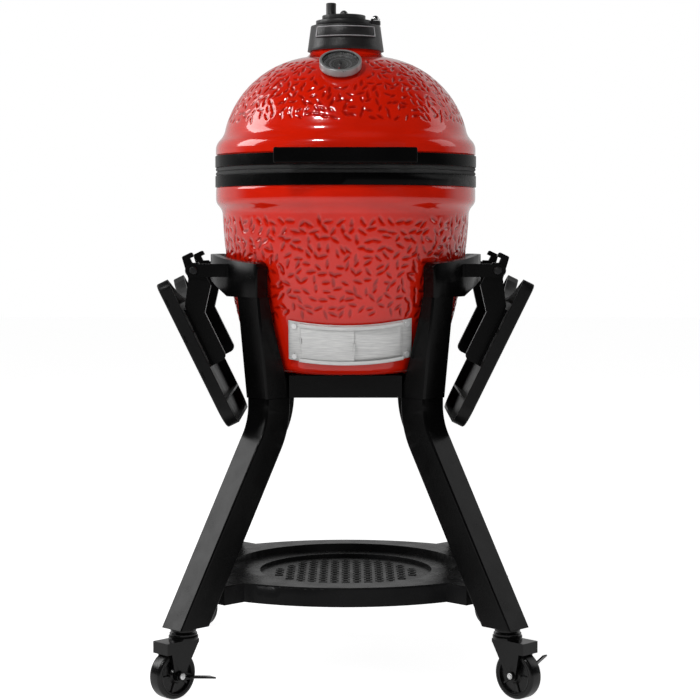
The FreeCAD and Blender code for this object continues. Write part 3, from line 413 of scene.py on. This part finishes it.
def box_bmesh(size, at, rounding=0.0):
    """A block with rounded edges."""
    bm = bmesh.new()
    bmesh.ops.create_cube(bm, size=1.0, matrix=Matrix.Translation(at) @ Matrix.Diagonal((*size, 1)))
    if rounding:
        bevel(bm, list(bm.edges), rounding)
    return bm


def bent_bar(angles, section):
    """A closed bar: a cross-section of (radius, height) points at each angle round Z."""
    bm = bmesh.new()
    rings = [[bm.verts.new((r * math.cos(a), r * math.sin(a), z)) for r, z in section] for a in angles]
    for here, there in zip(rings, rings[1:]):
        for k in range(len(section)):
            ahead = (k + 1) % len(section)
            bm.faces.new((here[k], there[k], there[ahead], here[ahead]))
    bm.faces.new(rings[0])
    bm.faces.new(rings[-1][::-1])
    return bm


def join(bm, extra):
    """Adds one bmesh to another and frees it."""
    scratch = bpy.data.meshes.new("scratch")
    extra.to_mesh(scratch)
    extra.free()
    bm.from_mesh(scratch)
    bpy.data.meshes.remove(scratch)


# ---------------------------------------------------------------- dimpled ceramic shells


def scatter_dimples(rng, s_low, s_high, radius_at, spacing):
    """Centres on a jittered brick pattern: (arc length, angle, turn of the long axis)."""
    dimples = []
    rows = max(1, round((s_high - s_low) / (spacing * 0.86)))
    for row in range(rows):
        s = s_low + (row + 0.5) * (s_high - s_low) / rows
        count = max(6, round(2 * math.pi * radius_at(s) / spacing))
        for k in range(count):
            angle = 2 * math.pi * (k + 0.5 * (row % 2) + rng.uniform(-0.3, 0.3)) / count
            dimples.append((s + rng.uniform(-0.27, 0.27) * spacing, angle, rng.uniform(0, math.pi)))
    return dimples


def dimple_field(rng, points, run, columns, heights, spacing, length, width, keep_clear):
    """Depth of the dimples, 0 to 1, over the grid of an outer skin, between two heights."""

    def radius_at(s):
        return float(np.interp(s, run, points[:, 0]))

    def z_at(s):
        return float(np.interp(s, run, points[:, 1]))

    zone = [float(np.interp(z * MM, points[:, 1], run)) for z in heights]
    depth = np.zeros((len(run), columns))
    step = 2 * math.pi / columns
    for s, angle, turn in scatter_dimples(rng, *zone, radius_at, spacing):
        half_length = rng.uniform(*length) / 2
        half_width = rng.uniform(*width) / 2
        radius = radius_at(s)
        centre = Vector((radius * math.cos(angle), radius * math.sin(angle), z_at(s)))
        if keep_clear(centre, half_length):
            continue
        rows = np.nonzero(np.abs(run - s) < half_length)[0]
        reach = int(half_length / (radius * step)) + 2
        middle = round(angle / step)
        wanted = np.arange(middle - reach, middle + reach + 1)
        across = (wanted * step - angle) * radius
        ds, dt = np.meshgrid(run[rows] - s, across, indexing="ij")
        u = (ds * math.cos(turn) + dt * math.sin(turn)) / half_length
        v = (-ds * math.sin(turn) + dt * math.cos(turn)) / half_width
        room = np.clip(1 - u * u, 0, 1)
        t = np.abs(v) / np.maximum(room**0.75, 1e-3)
        bowl = np.clip(1 - t * t, 0, 1) ** 1.3 * room**0.5
        window = np.ix_(rows, wanted % columns)
        depth[window] = np.maximum(depth[window], bowl)
    return depth


def shell(name, skin, lining, columns, field, deep, body, port=None):
    """A closed shell: dimpled outer skin, plain lining, and a port through the wall if asked.

    skin and lining are (radius, height) arrays that meet at both ends. port gives the angles,
    counted in columns, and the rows of the skin and of the lining between which the wall is open.
    """
    turn = 2 * math.pi * np.arange(columns) / columns
    slope = np.gradient(skin, axis=0)
    slope /= np.hypot(slope[:, 0], slope[:, 1])[:, None]
    normal = np.stack([slope[:, 1], -slope[:, 0]], axis=1)
    r = skin[:, :1] - normal[:, :1] * field * deep
    z = skin[:, 1:] - normal[:, 1:] * field * deep
    outer = np.stack([r * np.cos(turn), r * np.sin(turn), z], axis=2).reshape(-1, 3)
    inner = np.stack(
        [
            lining[:, :1] * np.cos(turn),
            lining[:, :1] * np.sin(turn),
            np.repeat(lining[:, 1:], columns, axis=1),
        ],
        axis=2,
    ).reshape(-1, 3)
    rows, back_rows = len(skin), len(lining)
    first = rows * columns

    def skip_skin(i, j):
        return port and port["skin"][0] <= i < port["skin"][1] and j in port["columns"]

    def skip_lining(i, j):
        return port and port["lining"][0] <= i < port["lining"][1] and j in port["columns"]

    faces = ring_faces(rows, columns, skip_skin)
    glazed = len(faces)
    faces += [tuple(first + v for v in f)[::-1] for f in ring_faces(back_rows, columns, skip_lining)]
    for k in range(columns):
        ahead = (k + 1) % columns
        faces.append((k, first + k, first + ahead, ahead))
        top, back_top = (rows - 1) * columns, first + (back_rows - 1) * columns
        faces.append((top + k, top + ahead, back_top + ahead, back_top + k))
    if port:
        (low, high), (back_low, back_high) = port["skin"], port["lining"]
        start, stop = port["columns"][0], port["columns"][-1] + 1
        sill, back_sill = low * columns, first + back_low * columns
        head, back_head = high * columns, first + back_high * columns
        for j in range(start, stop):
            faces.append((sill + j, sill + j + 1, back_sill + j + 1, back_sill + j))
            faces.append((head + j + 1, head + j, back_head + j, back_head + j + 1))
        for i in range(high - low):
            a, b = (low + i) * columns, (low + i + 1) * columns
            c, d = first + (back_low + i) * columns, first + (back_low + i + 1) * columns
            faces.append((b + start, a + start, c + start, d + start))
            faces.append((a + stop, b + stop, d + stop, c + stop))
    vertices = np.concatenate([outer, inner])
    mesh = bpy.data.meshes.new(name)
    mesh.from_pydata(vertices.tolist(), [], faces)
    mesh.materials.append(GLAZE)
    mesh.materials.append(RAW)
    painted = np.ones(len(faces), dtype=np.int32)
    painted[:glazed] = 0
    mesh.polygons.foreach_set("material_index", painted)
    # the dimples' depth at each vertex, which the glaze turns into painted shade in the dimples
    dimple_shade = mesh.attributes.new("dimple", "FLOAT", "POINT")
    values = np.zeros(len(vertices), dtype=np.float32)
    values[: rows * columns] = field.ravel()
    dimple_shade.data.foreach_set("value", values)
    mesh.shade_smooth()
    mesh.set_sharp_from_angle(angle=math.radians(50))
    place(name, mesh, body, (name.replace("glazed", "ceramic"),))


# Millimetres. Each arc is (radius, its centre's distance from the axis, its centre's height).
SEAM = 816.5
SEAM_GAP = 7
WALL = 25
RIM_R = 214.5
BAND_R = 212.1
RIM_INNER_R = 187
BASE_ARC = (816, 611.5, 780.7)
DOME_ARC = (158.5, 45.2, 846.8)
SHELL_COLUMNS = 720
GAUGE_AT = (-0.008, -0.136, 0.9766)


def base_r(z, inset=0.0):
    """Radius of the base's side at a height; the arc's centre is across the axis."""
    size, x, height = BASE_ARC
    return math.sqrt((size - inset) ** 2 - (height - z) ** 2) - x


def dome_r(z, inset=0.0):
    """Radius of the dome's side at a height."""
    size, x, height = DOME_ARC
    return x + math.sqrt((size - inset) ** 2 - (z - height) ** 2)


def make_dome():
    """The dome: a rim with the band's seat, a crease, the dimpled side and the neck."""
    low, crease, shoulder, neck, top = SEAM + SEAM_GAP, 887, 996, 1003, 1024
    skin, run = graded(
        (
            [
                (BAND_R, low),
                (BAND_R, SEAM + 26),
                (RIM_R, SEAM + 27.5),
                (RIM_R, SEAM + 35),
                (208.5, SEAM + 51, 22),
                (dome_r(crease), crease, -34),
            ],
            26,
        ),
        ([(dome_r(crease), crease), (dome_r(shoulder), shoulder, DOME_ARC[0])], 92),
        (
            [
                (dome_r(shoulder), shoulder),
                (dome_r(neck), neck, DOME_ARC[0]),
                (58.2, 1012, -17),
                (57, 1021),
                (54, top, 3),
            ],
            12,
        ),
    )
    flue_r, roof = 44, 979
    hollow = [
        (RIM_INNER_R, low),
        (dome_r(DOME_ARC[2], WALL), DOME_ARC[2]),
        (dome_r(roof, WALL), roof, DOME_ARC[0] - WALL),
        (flue_r, 984, -30),
        (flue_r, top),
    ]
    lining = resampled(outline(hollow), 8)
    gauge, gauge_clearance = Vector(GAUGE_AT), 0.036

    def under_gauge(p, half):
        return (p - gauge).length < gauge_clearance + half

    length, width = (0.0135, 0.0178), (0.006, 0.0078)
    field = dimple_field(
        random.Random(11), skin, run, SHELL_COLUMNS, (893, 992), 0.0148, length, width, under_gauge
    )
    shell("glazed_dome", skin, lining, SHELL_COLUMNS, field, 0.0016, "lid")


def make_base():
    """The base: a foot, the dimpled side with the draft port, and a rim with the band's seat."""
    columns, foot, corner, shoulder = SHELL_COLUMNS, 490, 18, 746
    low = foot + corner
    skin, run = graded(
        ([(126, foot), (139, foot), (base_r(low), low, corner * 1.1)], 10),
        ([(base_r(low), low), (base_r(shoulder), shoulder, BASE_ARC[0])], 118),
        (
            [
                (base_r(shoulder), shoulder),
                (209.5, 760, -20),
                (RIM_R, 772, 16),
                (RIM_R, SEAM - 27.5),
                (BAND_R, SEAM - 26),
                (BAND_R, SEAM - SEAM_GAP),
            ],
            20,
        ),
    )
    floor, port_low, port_high = 515, 519, 556
    port_rows = [int(np.argmin(np.abs(skin[:, 1] - z * MM))) for z in (port_low, port_high)]
    beside_port = [(base_r(z / MM, WALL) * MM, z) for z in skin[port_rows[0] : port_rows[1] + 1, 1]]
    bottom = [(50, foot), (2, foot), (2, floor), (50, floor), (base_r(floor, WALL), floor)]
    bottom.append((base_r(floor + 2, WALL), floor + 2))
    below_port = [(r * MM, z * MM) for r, z in bottom]
    hollow = [
        (base_r(570, WALL), 570),
        (base_r(shoulder, WALL), shoulder, BASE_ARC[0] - WALL),
        (183, 766),
        (RIM_INNER_R, SEAM - SEAM_GAP),
    ]
    above_port = [tuple(p) for p in resampled(outline(hollow), 14)]
    lining = np.array(below_port + beside_port + above_port)
    back_low = len(below_port)
    port_y, port_ends = -0.16, (-0.062, 0.084)
    angles = [math.atan2(port_y, x) % (2 * math.pi) for x in port_ends]
    first, last = (round(a / (2 * math.pi) * columns) for a in angles)
    port = {
        "skin": port_rows,
        "lining": [back_low, back_low + port_rows[1] - port_rows[0]],
        "columns": range(first, last),
    }
    door_half, door_low, door_high = 0.104, 0.503, 0.578

    def under_door(p, half):
        beside = abs(p.x) < door_half + half
        return p.y < 0 and beside and door_low - half < p.z < door_high + half

    length, width = (0.0145, 0.0195), (0.0064, 0.0084)
    field = dimple_field(
        random.Random(23), skin, run, columns, (505, 741), 0.016, length, width, under_door
    )
    row = np.arange(len(skin))
    port_edge = (row >= port_rows[0] - 2) & (row <= port_rows[1] + 2)
    field[np.ix_(port_edge, range(first - 3, last + 4))] = 0
    shell("glazed_base", skin, lining, columns, field, 0.0017, "cart", port)


def make_gaskets():
    """Twisted rope beads that fill the seam."""
    columns, around, strands, parting = 720, 14, 150, 0.2
    inner, outer = 0.1885, 0.2148
    for name, body, low, high in (
        ("base_rope", "cart", SEAM - SEAM_GAP, SEAM - parting),
        ("dome_rope", "lid", SEAM + parting, SEAM + SEAM_GAP),
    ):
        middle, half = (low + high) / 2 * MM, (high - low) / 2 * MM
        vertices, faces = [], []
        for j in range(columns):
            angle = 2 * math.pi * j / columns
            loop = [(inner, middle - half), (outer - half, middle - half)]
            for k in range(around + 1):
                a = -math.pi / 2 + math.pi * k / around
                swell = 0.86 + 0.14 * abs(math.sin(strands * angle / 2 + 1.4 * a))
                loop.append((outer - half + half * swell * math.cos(a), middle + half * 0.99 * math.sin(a)))
            loop.append((inner, middle + half))
            vertices += [(r * math.cos(angle), r * math.sin(angle), z) for r, z in loop]
        size = len(vertices) // columns
        for j in range(columns):
            ahead = (j + 1) % columns
            for k in range(size):
                n = (k + 1) % size
                faces.append((j * size + k, ahead * size + k, ahead * size + n, j * size + n))
        mesh = bpy.data.meshes.new(name)
        mesh.from_pydata(vertices, [], faces)
        mesh.validate()
        mesh.materials.append(FELT)
        mesh.shade_smooth()
        place(name, mesh, body, (name.replace("rope", "gasket"),))


# ---------------------------------------------------------------- vent and thermometer


def make_vent_trim():
    """A blank plaque on the front of the vent's collar, with a thin pale rim."""
    steps, half_angle, low, high = 56, 0.9, 1.0335, 1.0532
    inset, rim, sunk, proud, rim_proud = 0.0016, 0.0013, 0.001, 0.0022, 0.0029
    front = -math.pi / 2
    rim_half_angle = half_angle - 0.03

    def collar_r(z):
        """Radius of the collar's cone at a height."""
        base, base_r, top_r, height = 1.0145, 0.063, 0.0575, 0.04
        return base_r + (top_r - base_r) * (z - base) / height

    def strip(name, z0, z1, spread, rounding, proud, material):
        angles = [front + spread * (2 * k / steps - 1) for k in range(steps + 1)]
        section = (
            (collar_r(z0) - sunk, z0),
            (collar_r(z0) + proud, z0),
            (collar_r(z1) + proud, z1),
            (collar_r(z1) - sunk, z1),
        )
        bm = bent_bar(angles, section)
        bmesh.ops.recalc_face_normals(bm, faces=bm.faces)
        bevel(bm, [e for e in bm.edges if e.calc_face_angle(0) > 0.6], rounding)
        from_bmesh(name, bm, "lid", material)

    strip("vent_plaque", low, high, half_angle, 0.0006, proud, VENT)
    rims = (("low", low + inset, low + inset + rim), ("high", high - inset - rim, high - inset))
    for end, z0, z1 in rims:
        strip("vent_plaque_rim_" + end, z0, z1, rim_half_angle, 0.0003, rim_proud, PALE)
    bottom, top, half_width = low + 0.0017, high - 0.0017, 0.011
    section = (
        (collar_r(low) - sunk, bottom),
        (collar_r(low) + rim_proud, bottom),
        (collar_r(high) + rim_proud, top),
        (collar_r(high) - sunk, top),
    )
    for sign, side in ((-1, "left"), (1, "right")):
        angle = front + sign * rim_half_angle
        bar = bent_bar((angle - sign * half_width, angle + sign * half_width), section)
        from_bmesh("vent_plaque_rim_" + side, bar, "lid", PALE)


def acorn_nut(name, body, at, across, height, stands_for=()):
    """A hexagon nut with a domed cap, standing at a point."""
    bm = bmesh.new()
    flat = height * 0.42
    reach = across / math.sqrt(3)
    hexagon = [
        bm.verts.new((reach * math.cos(turn), reach * math.sin(turn), 0))
        for turn in (math.pi / 3 * k for k in range(6))
    ]
    base = bm.faces.new(hexagon)
    grown = bmesh.ops.extrude_face_region(bm, geom=[base])
    lifted = [v for v in grown["geom"] if isinstance(v, bmesh.types.BMVert)]
    bmesh.ops.translate(bm, vec=(0, 0, flat), verts=lifted)
    bevel(bm, list(bm.edges), 0.0004)
    radius, steps = across * 0.44, 8
    dome = [(0, flat * 0.9), (radius, flat * 0.9)]
    dome += [
        (radius * math.cos(a), flat + (height - flat) * math.sin(a))
        for a in (math.pi / 2 * k / steps for k in range(steps))
    ]
    dome.append((0, height))
    join(bm, lathe_bmesh(dome, 32))
    bmesh.ops.translate(bm, vec=at, verts=bm.verts)
    from_bmesh(name, bm, body, CHROME, stands_for)


def make_vent_nuts():
    """The nut of the cap's pivot and the one in the middle of the daisy wheel, just clear of both."""
    acorn_nut("pivot_nut", "lid", (0.049, 0, 1.06455), 0.0135, 0.0092, ("vent_pivot_bolt",))
    acorn_nut("cap_nut", "vent_cap", (-0.003, 0, 1.07325), 0.0138, 0.009)


def make_dial_marks():
    """Ticks round the dial, two printed rings, a red mark, and the rings inside the bezel."""
    gauge = Matrix.Translation(GAUGE_AT) @ Matrix.Rotation(math.radians(35), 4, "X")
    face, ink = 0.0066, 0.0002
    first_tick, sweep = -135, 270

    def show(name, bm, material):
        bm.transform(gauge)
        from_bmesh(name, bm, "lid", material)

    ticks = bmesh.new()
    for reach, count, long_size, short_size in (
        (0.0255, 60, (0.0042, 0.0007, ink), (0.0024, 0.0004, ink)),
        (0.0168, 40, (0.0026, 0.0006, ink), (0.0014, 0.0005, ink)),
        (0.0122, 24, (0.002, 0.0006, ink), (0.0012, 0.0005, ink)),
    ):
        for k in range(count + 1):
            size = short_size if k % 5 else long_size
            tick = box_bmesh(size, (reach - size[0] / 2, 0, face + ink / 2))
            angle = math.radians(first_tick + sweep * k / count) + math.pi / 2
            tick.transform(Matrix.Rotation(angle, 4, "Z"))
            join(ticks, tick)
    show("dial_ticks", ticks, PALE)
    for name, inner, outer, low, high, material in (
        ("bezel_inner_ring", 0.0288, 0.03085, 0.0068, 0.0119, BLACK),
        ("dial_wall", 0.0279, 0.0288, 0.0068, 0.0108, STEEL),
        ("dial_ring_outer", 0.0258, 0.0266, face, face + ink, PALE),
        ("dial_ring_inner", 0.0172, 0.0178, face, face + ink, PALE),
    ):
        show(name, lathe_bmesh([(inner, low), (outer, low), (outer, high), (inner, high)], 64), material)
    thick = 0.0003
    mark = box_bmesh((0.0036, 0.0042, thick), (-0.0015, -0.0135, face + thick / 2), 0.0001)
    show("dial_mark", mark, RED_MARK)


# ---------------------------------------------------------------- cart details


def make_tray_pattern():
    """Raised links in the tray's well: columns of short rounded bars, cut to the well's circle."""
    floor, pitch_x, pitch_y, reach = 0.147, 0.0185, 0.0215, 0.118
    half_gap_x, half_gap_y = 0.0052, 0.0075
    long_bar, cross_bar = (0.0032, 0.0145, 0.0016), (0.0105, 0.003, 0.0014)
    links = bmesh.new()
    columns, rows = int(reach // pitch_x), 7
    for column in range(-columns, columns + 1):
        x = column * pitch_x
        shift = 0.5 * (column % 2)
        for row in range(-rows, rows + 1):
            y = (row + shift) * pitch_y
            if math.hypot(x, y) > reach:
                continue
            for side in (-1, 1):
                join(links, box_bmesh(long_bar, (x + side * half_gap_x, y, floor + 0.0005), 0.0007))
            for end in (-1, 1):
                join(links, box_bmesh(cross_bar, (x, y + end * half_gap_y, floor + 0.0004), 0.0006))
    from_bmesh("tray_links", links, "cart", TRAY)


def axle_place(angle):
    """Where a caster's axle is, from its corner's angle in degrees; its own Y runs along the axle."""
    swivel_reach, trail, height = 0.251 * math.sqrt(2), 0.022, 0.0375
    turn = math.radians(angle - 90)
    reach = swivel_reach + trail
    middle = Matrix.Translation((reach * math.cos(turn), reach * math.sin(turn), height))
    return middle @ Matrix.Rotation(turn, 4, "Z")


def make_wheels():
    """Moulded wheels: a rounded tread, a dished web with ribs, and a hub."""
    half, tread, flat_r, steps, ribs = 0.012, 0.0045, 0.033, 6, 5
    hub_face, web_face = half + 0.001, 0.0072
    section = [
        (0.0042, -hub_face),
        (0.0105, -hub_face),
        (0.0125, -0.009),
        (0.014, -0.0075),
        (0.0265, -web_face),
        (0.028, -0.0115),
        (0.0295, -half),
        (0.0305, -half),
        (0.031, -half + 0.0006),
        (0.0315, -half),
        (flat_r, -half),
    ]
    section += [
        (flat_r + tread * math.sin(a), -half + tread * (1 - math.cos(a)))
        for a in (math.pi / 2 * k / steps for k in range(1, steps + 1))
    ]
    section += [(r, -z) for r, z in reversed(section)]
    for name, angle in CORNERS.items():
        wheel = lathe_bmesh(section, 96)
        for side in (-1, 1):
            for k in range(ribs):
                rib = box_bmesh((0.0165, 0.0034, 0.003), (0.0198, 0, side * 0.0082), 0.0006)
                rib.transform(Matrix.Rotation(2 * math.pi * k / ribs, 4, "Z"))
                join(wheel, rib)
        wheel.transform(axle_place(angle) @ Matrix.Rotation(math.pi / 2, 4, "X"))
        node = "caster_wheel_" + name
        from_bmesh("wheel_" + name, wheel, node, TREAD, (node,), 40)


def make_axle_screws():
    """A bright pan head with a raised cross at both ends of each caster's axle."""
    pan_head = [(0, 0), (0.0048, 0), (0.0048, 0.0008), (0.0036, 0.0018), (0.0015, 0.0022), (0, 0.0022)]
    cheek, pedal = 0.0202, 0.024
    for name, angle in CORNERS.items():
        screws = bmesh.new()
        for side, start in ((1, cheek), (-1, pedal if name.startswith("front") else cheek)):
            head = lathe_bmesh(pan_head, 28)
            for size in ((0.004, 0.001, 0.001), (0.001, 0.004, 0.001)):
                join(head, box_bmesh(size, (0, 0, 0.0021)))
            head.transform(Matrix.Rotation(side * math.pi / 2, 4, "X"))
            bmesh.ops.translate(head, vec=(0, -side * start, 0), verts=head.verts)
            join(screws, head)
        screws.transform(axle_place(angle))
        from_bmesh("axle_screws_" + name, screws, "caster_fork_" + name, ZINC)


# ---------------------------------------------------------------- studio


def area_light(name, at, look, size, power, gloss=True):
    """A soft box at a place, facing a point; without gloss it isn't seen in reflections."""
    lamp = bpy.data.lights.new(name, "AREA")
    lamp.shape = "RECTANGLE"
    lamp.size, lamp.size_y = size
    lamp.energy = power
    holder = bpy.data.objects.new(name, lamp)
    holder.location = at
    holder.rotation_euler = (Vector(look) - Vector(at)).to_track_quat("-Z", "Y").to_euler()
    holder.visible_glossy = gloss
    bpy.context.collection.objects.link(holder)


def make_surroundings():
    """A white backdrop behind the object and a dark room in front, as its gloss shows them."""
    world = bpy.data.worlds.new("studio")
    bpy.context.scene.world = world
    world.use_nodes = True
    tree = world.node_tree
    tree.nodes.clear()
    output = tree.nodes.new("ShaderNodeOutputWorld")
    seen = tree.nodes.new("ShaderNodeBackground")
    lit = tree.nodes.new("ShaderNodeBackground")
    seen.inputs["Color"].default_value = (1, 1, 1, 1)
    where = tree.nodes.new("ShaderNodeTexCoord")
    axes = tree.nodes.new("ShaderNodeSeparateXYZ")
    tree.links.new(where.outputs["Generated"], axes.inputs["Vector"])
    behind = ramp(tree, axes.outputs["Y"], 0.015, 0.55, 0.1, 0.4)
    low = ramp(tree, axes.outputs["Z"], 1.0, 0.15, 0.5, 0.75)
    both = tree.nodes.new("ShaderNodeMix")
    both.data_type = "RGBA"
    both.blend_type = "MULTIPLY"
    both.inputs["Factor"].default_value = 1.0
    tree.links.new(behind, both.inputs["A"])
    tree.links.new(low, both.inputs["B"])
    tree.links.new(both.outputs["Result"], lit.inputs["Color"])
    path = tree.nodes.new("ShaderNodeLightPath")
    choose = tree.nodes.new("ShaderNodeMixShader")
    tree.links.new(path.outputs["Is Camera Ray"], choose.inputs["Fac"])
    tree.links.new(lit.outputs["Background"], choose.inputs[1])
    tree.links.new(seen.outputs["Background"], choose.inputs[2])
    tree.links.new(choose.outputs["Shader"], output.inputs["Surface"])


def make_floor():
    """A pale floor that glows, more so for the camera."""
    bm = bmesh.new()
    bmesh.ops.create_grid(bm, x_segments=8, y_segments=8, size=12)
    mesh = bpy.data.meshes.new("floor")
    bm.to_mesh(mesh)
    bm.free()
    floor = bpy.data.objects.new("floor", mesh)
    bpy.context.collection.objects.link(floor)
    material, tree, shader = node_material("floor_paint", (0.4, 0.4, 0.4), 0.9)
    tree.links.new(ramp(tree, noise(tree, 3, 2), 0.38, 0.42), shader.inputs["Base Color"])
    shader.inputs["Emission Color"].default_value = (1, 1, 1, 1)
    path = tree.nodes.new("ShaderNodeLightPath")
    level = tree.nodes.new("ShaderNodeMath")
    level.operation = "MULTIPLY_ADD"
    camera_extra, everywhere = 0.42, 0.5
    level.inputs[1].default_value = camera_extra
    level.inputs[2].default_value = everywhere
    tree.links.new(path.outputs["Is Camera Ray"], level.inputs[0])
    tree.links.new(level.outputs["Value"], shader.inputs["Emission Strength"])
    mesh.materials.append(material)


def make_lights():
    """A small key in front, a box above, two fills, and a tall strip at each side."""
    area_light("key_box", (-1.35, -2.65, 3.2), (0, 0, 0.87), (0.5, 0.34), 46)
    area_light("top_box", (0.3, -0.6, 3.6), (0, 0, 0.6), (1.6, 1.0), 12, gloss=False)
    area_light("fill_left", (-2.2, -2.6, 1.9), (0, 0, 0.65), (1.6, 1.8), 32, gloss=False)
    area_light("fill_right", (2.2, -2.8, 1.7), (0, 0, 0.65), (1.6, 1.8), 18, gloss=False)
    area_light("strip_left", (-2.8, 0.3, 2.05), (0, 0, 0.75), (1.3, 1.7), 36)
    area_light("strip_right", (2.8, 0.5, 2.0), (0, 0, 0.75), (1.1, 1.7), 6)


def make_camera():
    """The main camera: in front of the object, above its middle, looking slightly down."""
    tilt_down = 3.74
    camera = bpy.data.cameras.new("main")
    camera.lens = 96.46
    camera.sensor_width = 36
    camera.clip_end = 100
    holder = bpy.data.objects.new("main", camera)
    holder.location = (0.0071, -3.122, 0.7252)
    holder.rotation_euler = (math.radians(90 - tilt_down), 0, 0)
    bpy.context.collection.objects.link(holder)
    bpy.context.scene.camera = holder
    bpy.context.scene.view_settings.view_transform = "Standard"


paint_cad()
make_dome()
make_base()
make_gaskets()
make_vent_trim()
make_vent_nuts()
make_dial_marks()
make_tray_pattern()
make_wheels()
make_axle_screws()
make_floor()
make_surroundings()
make_lights()
make_camera()
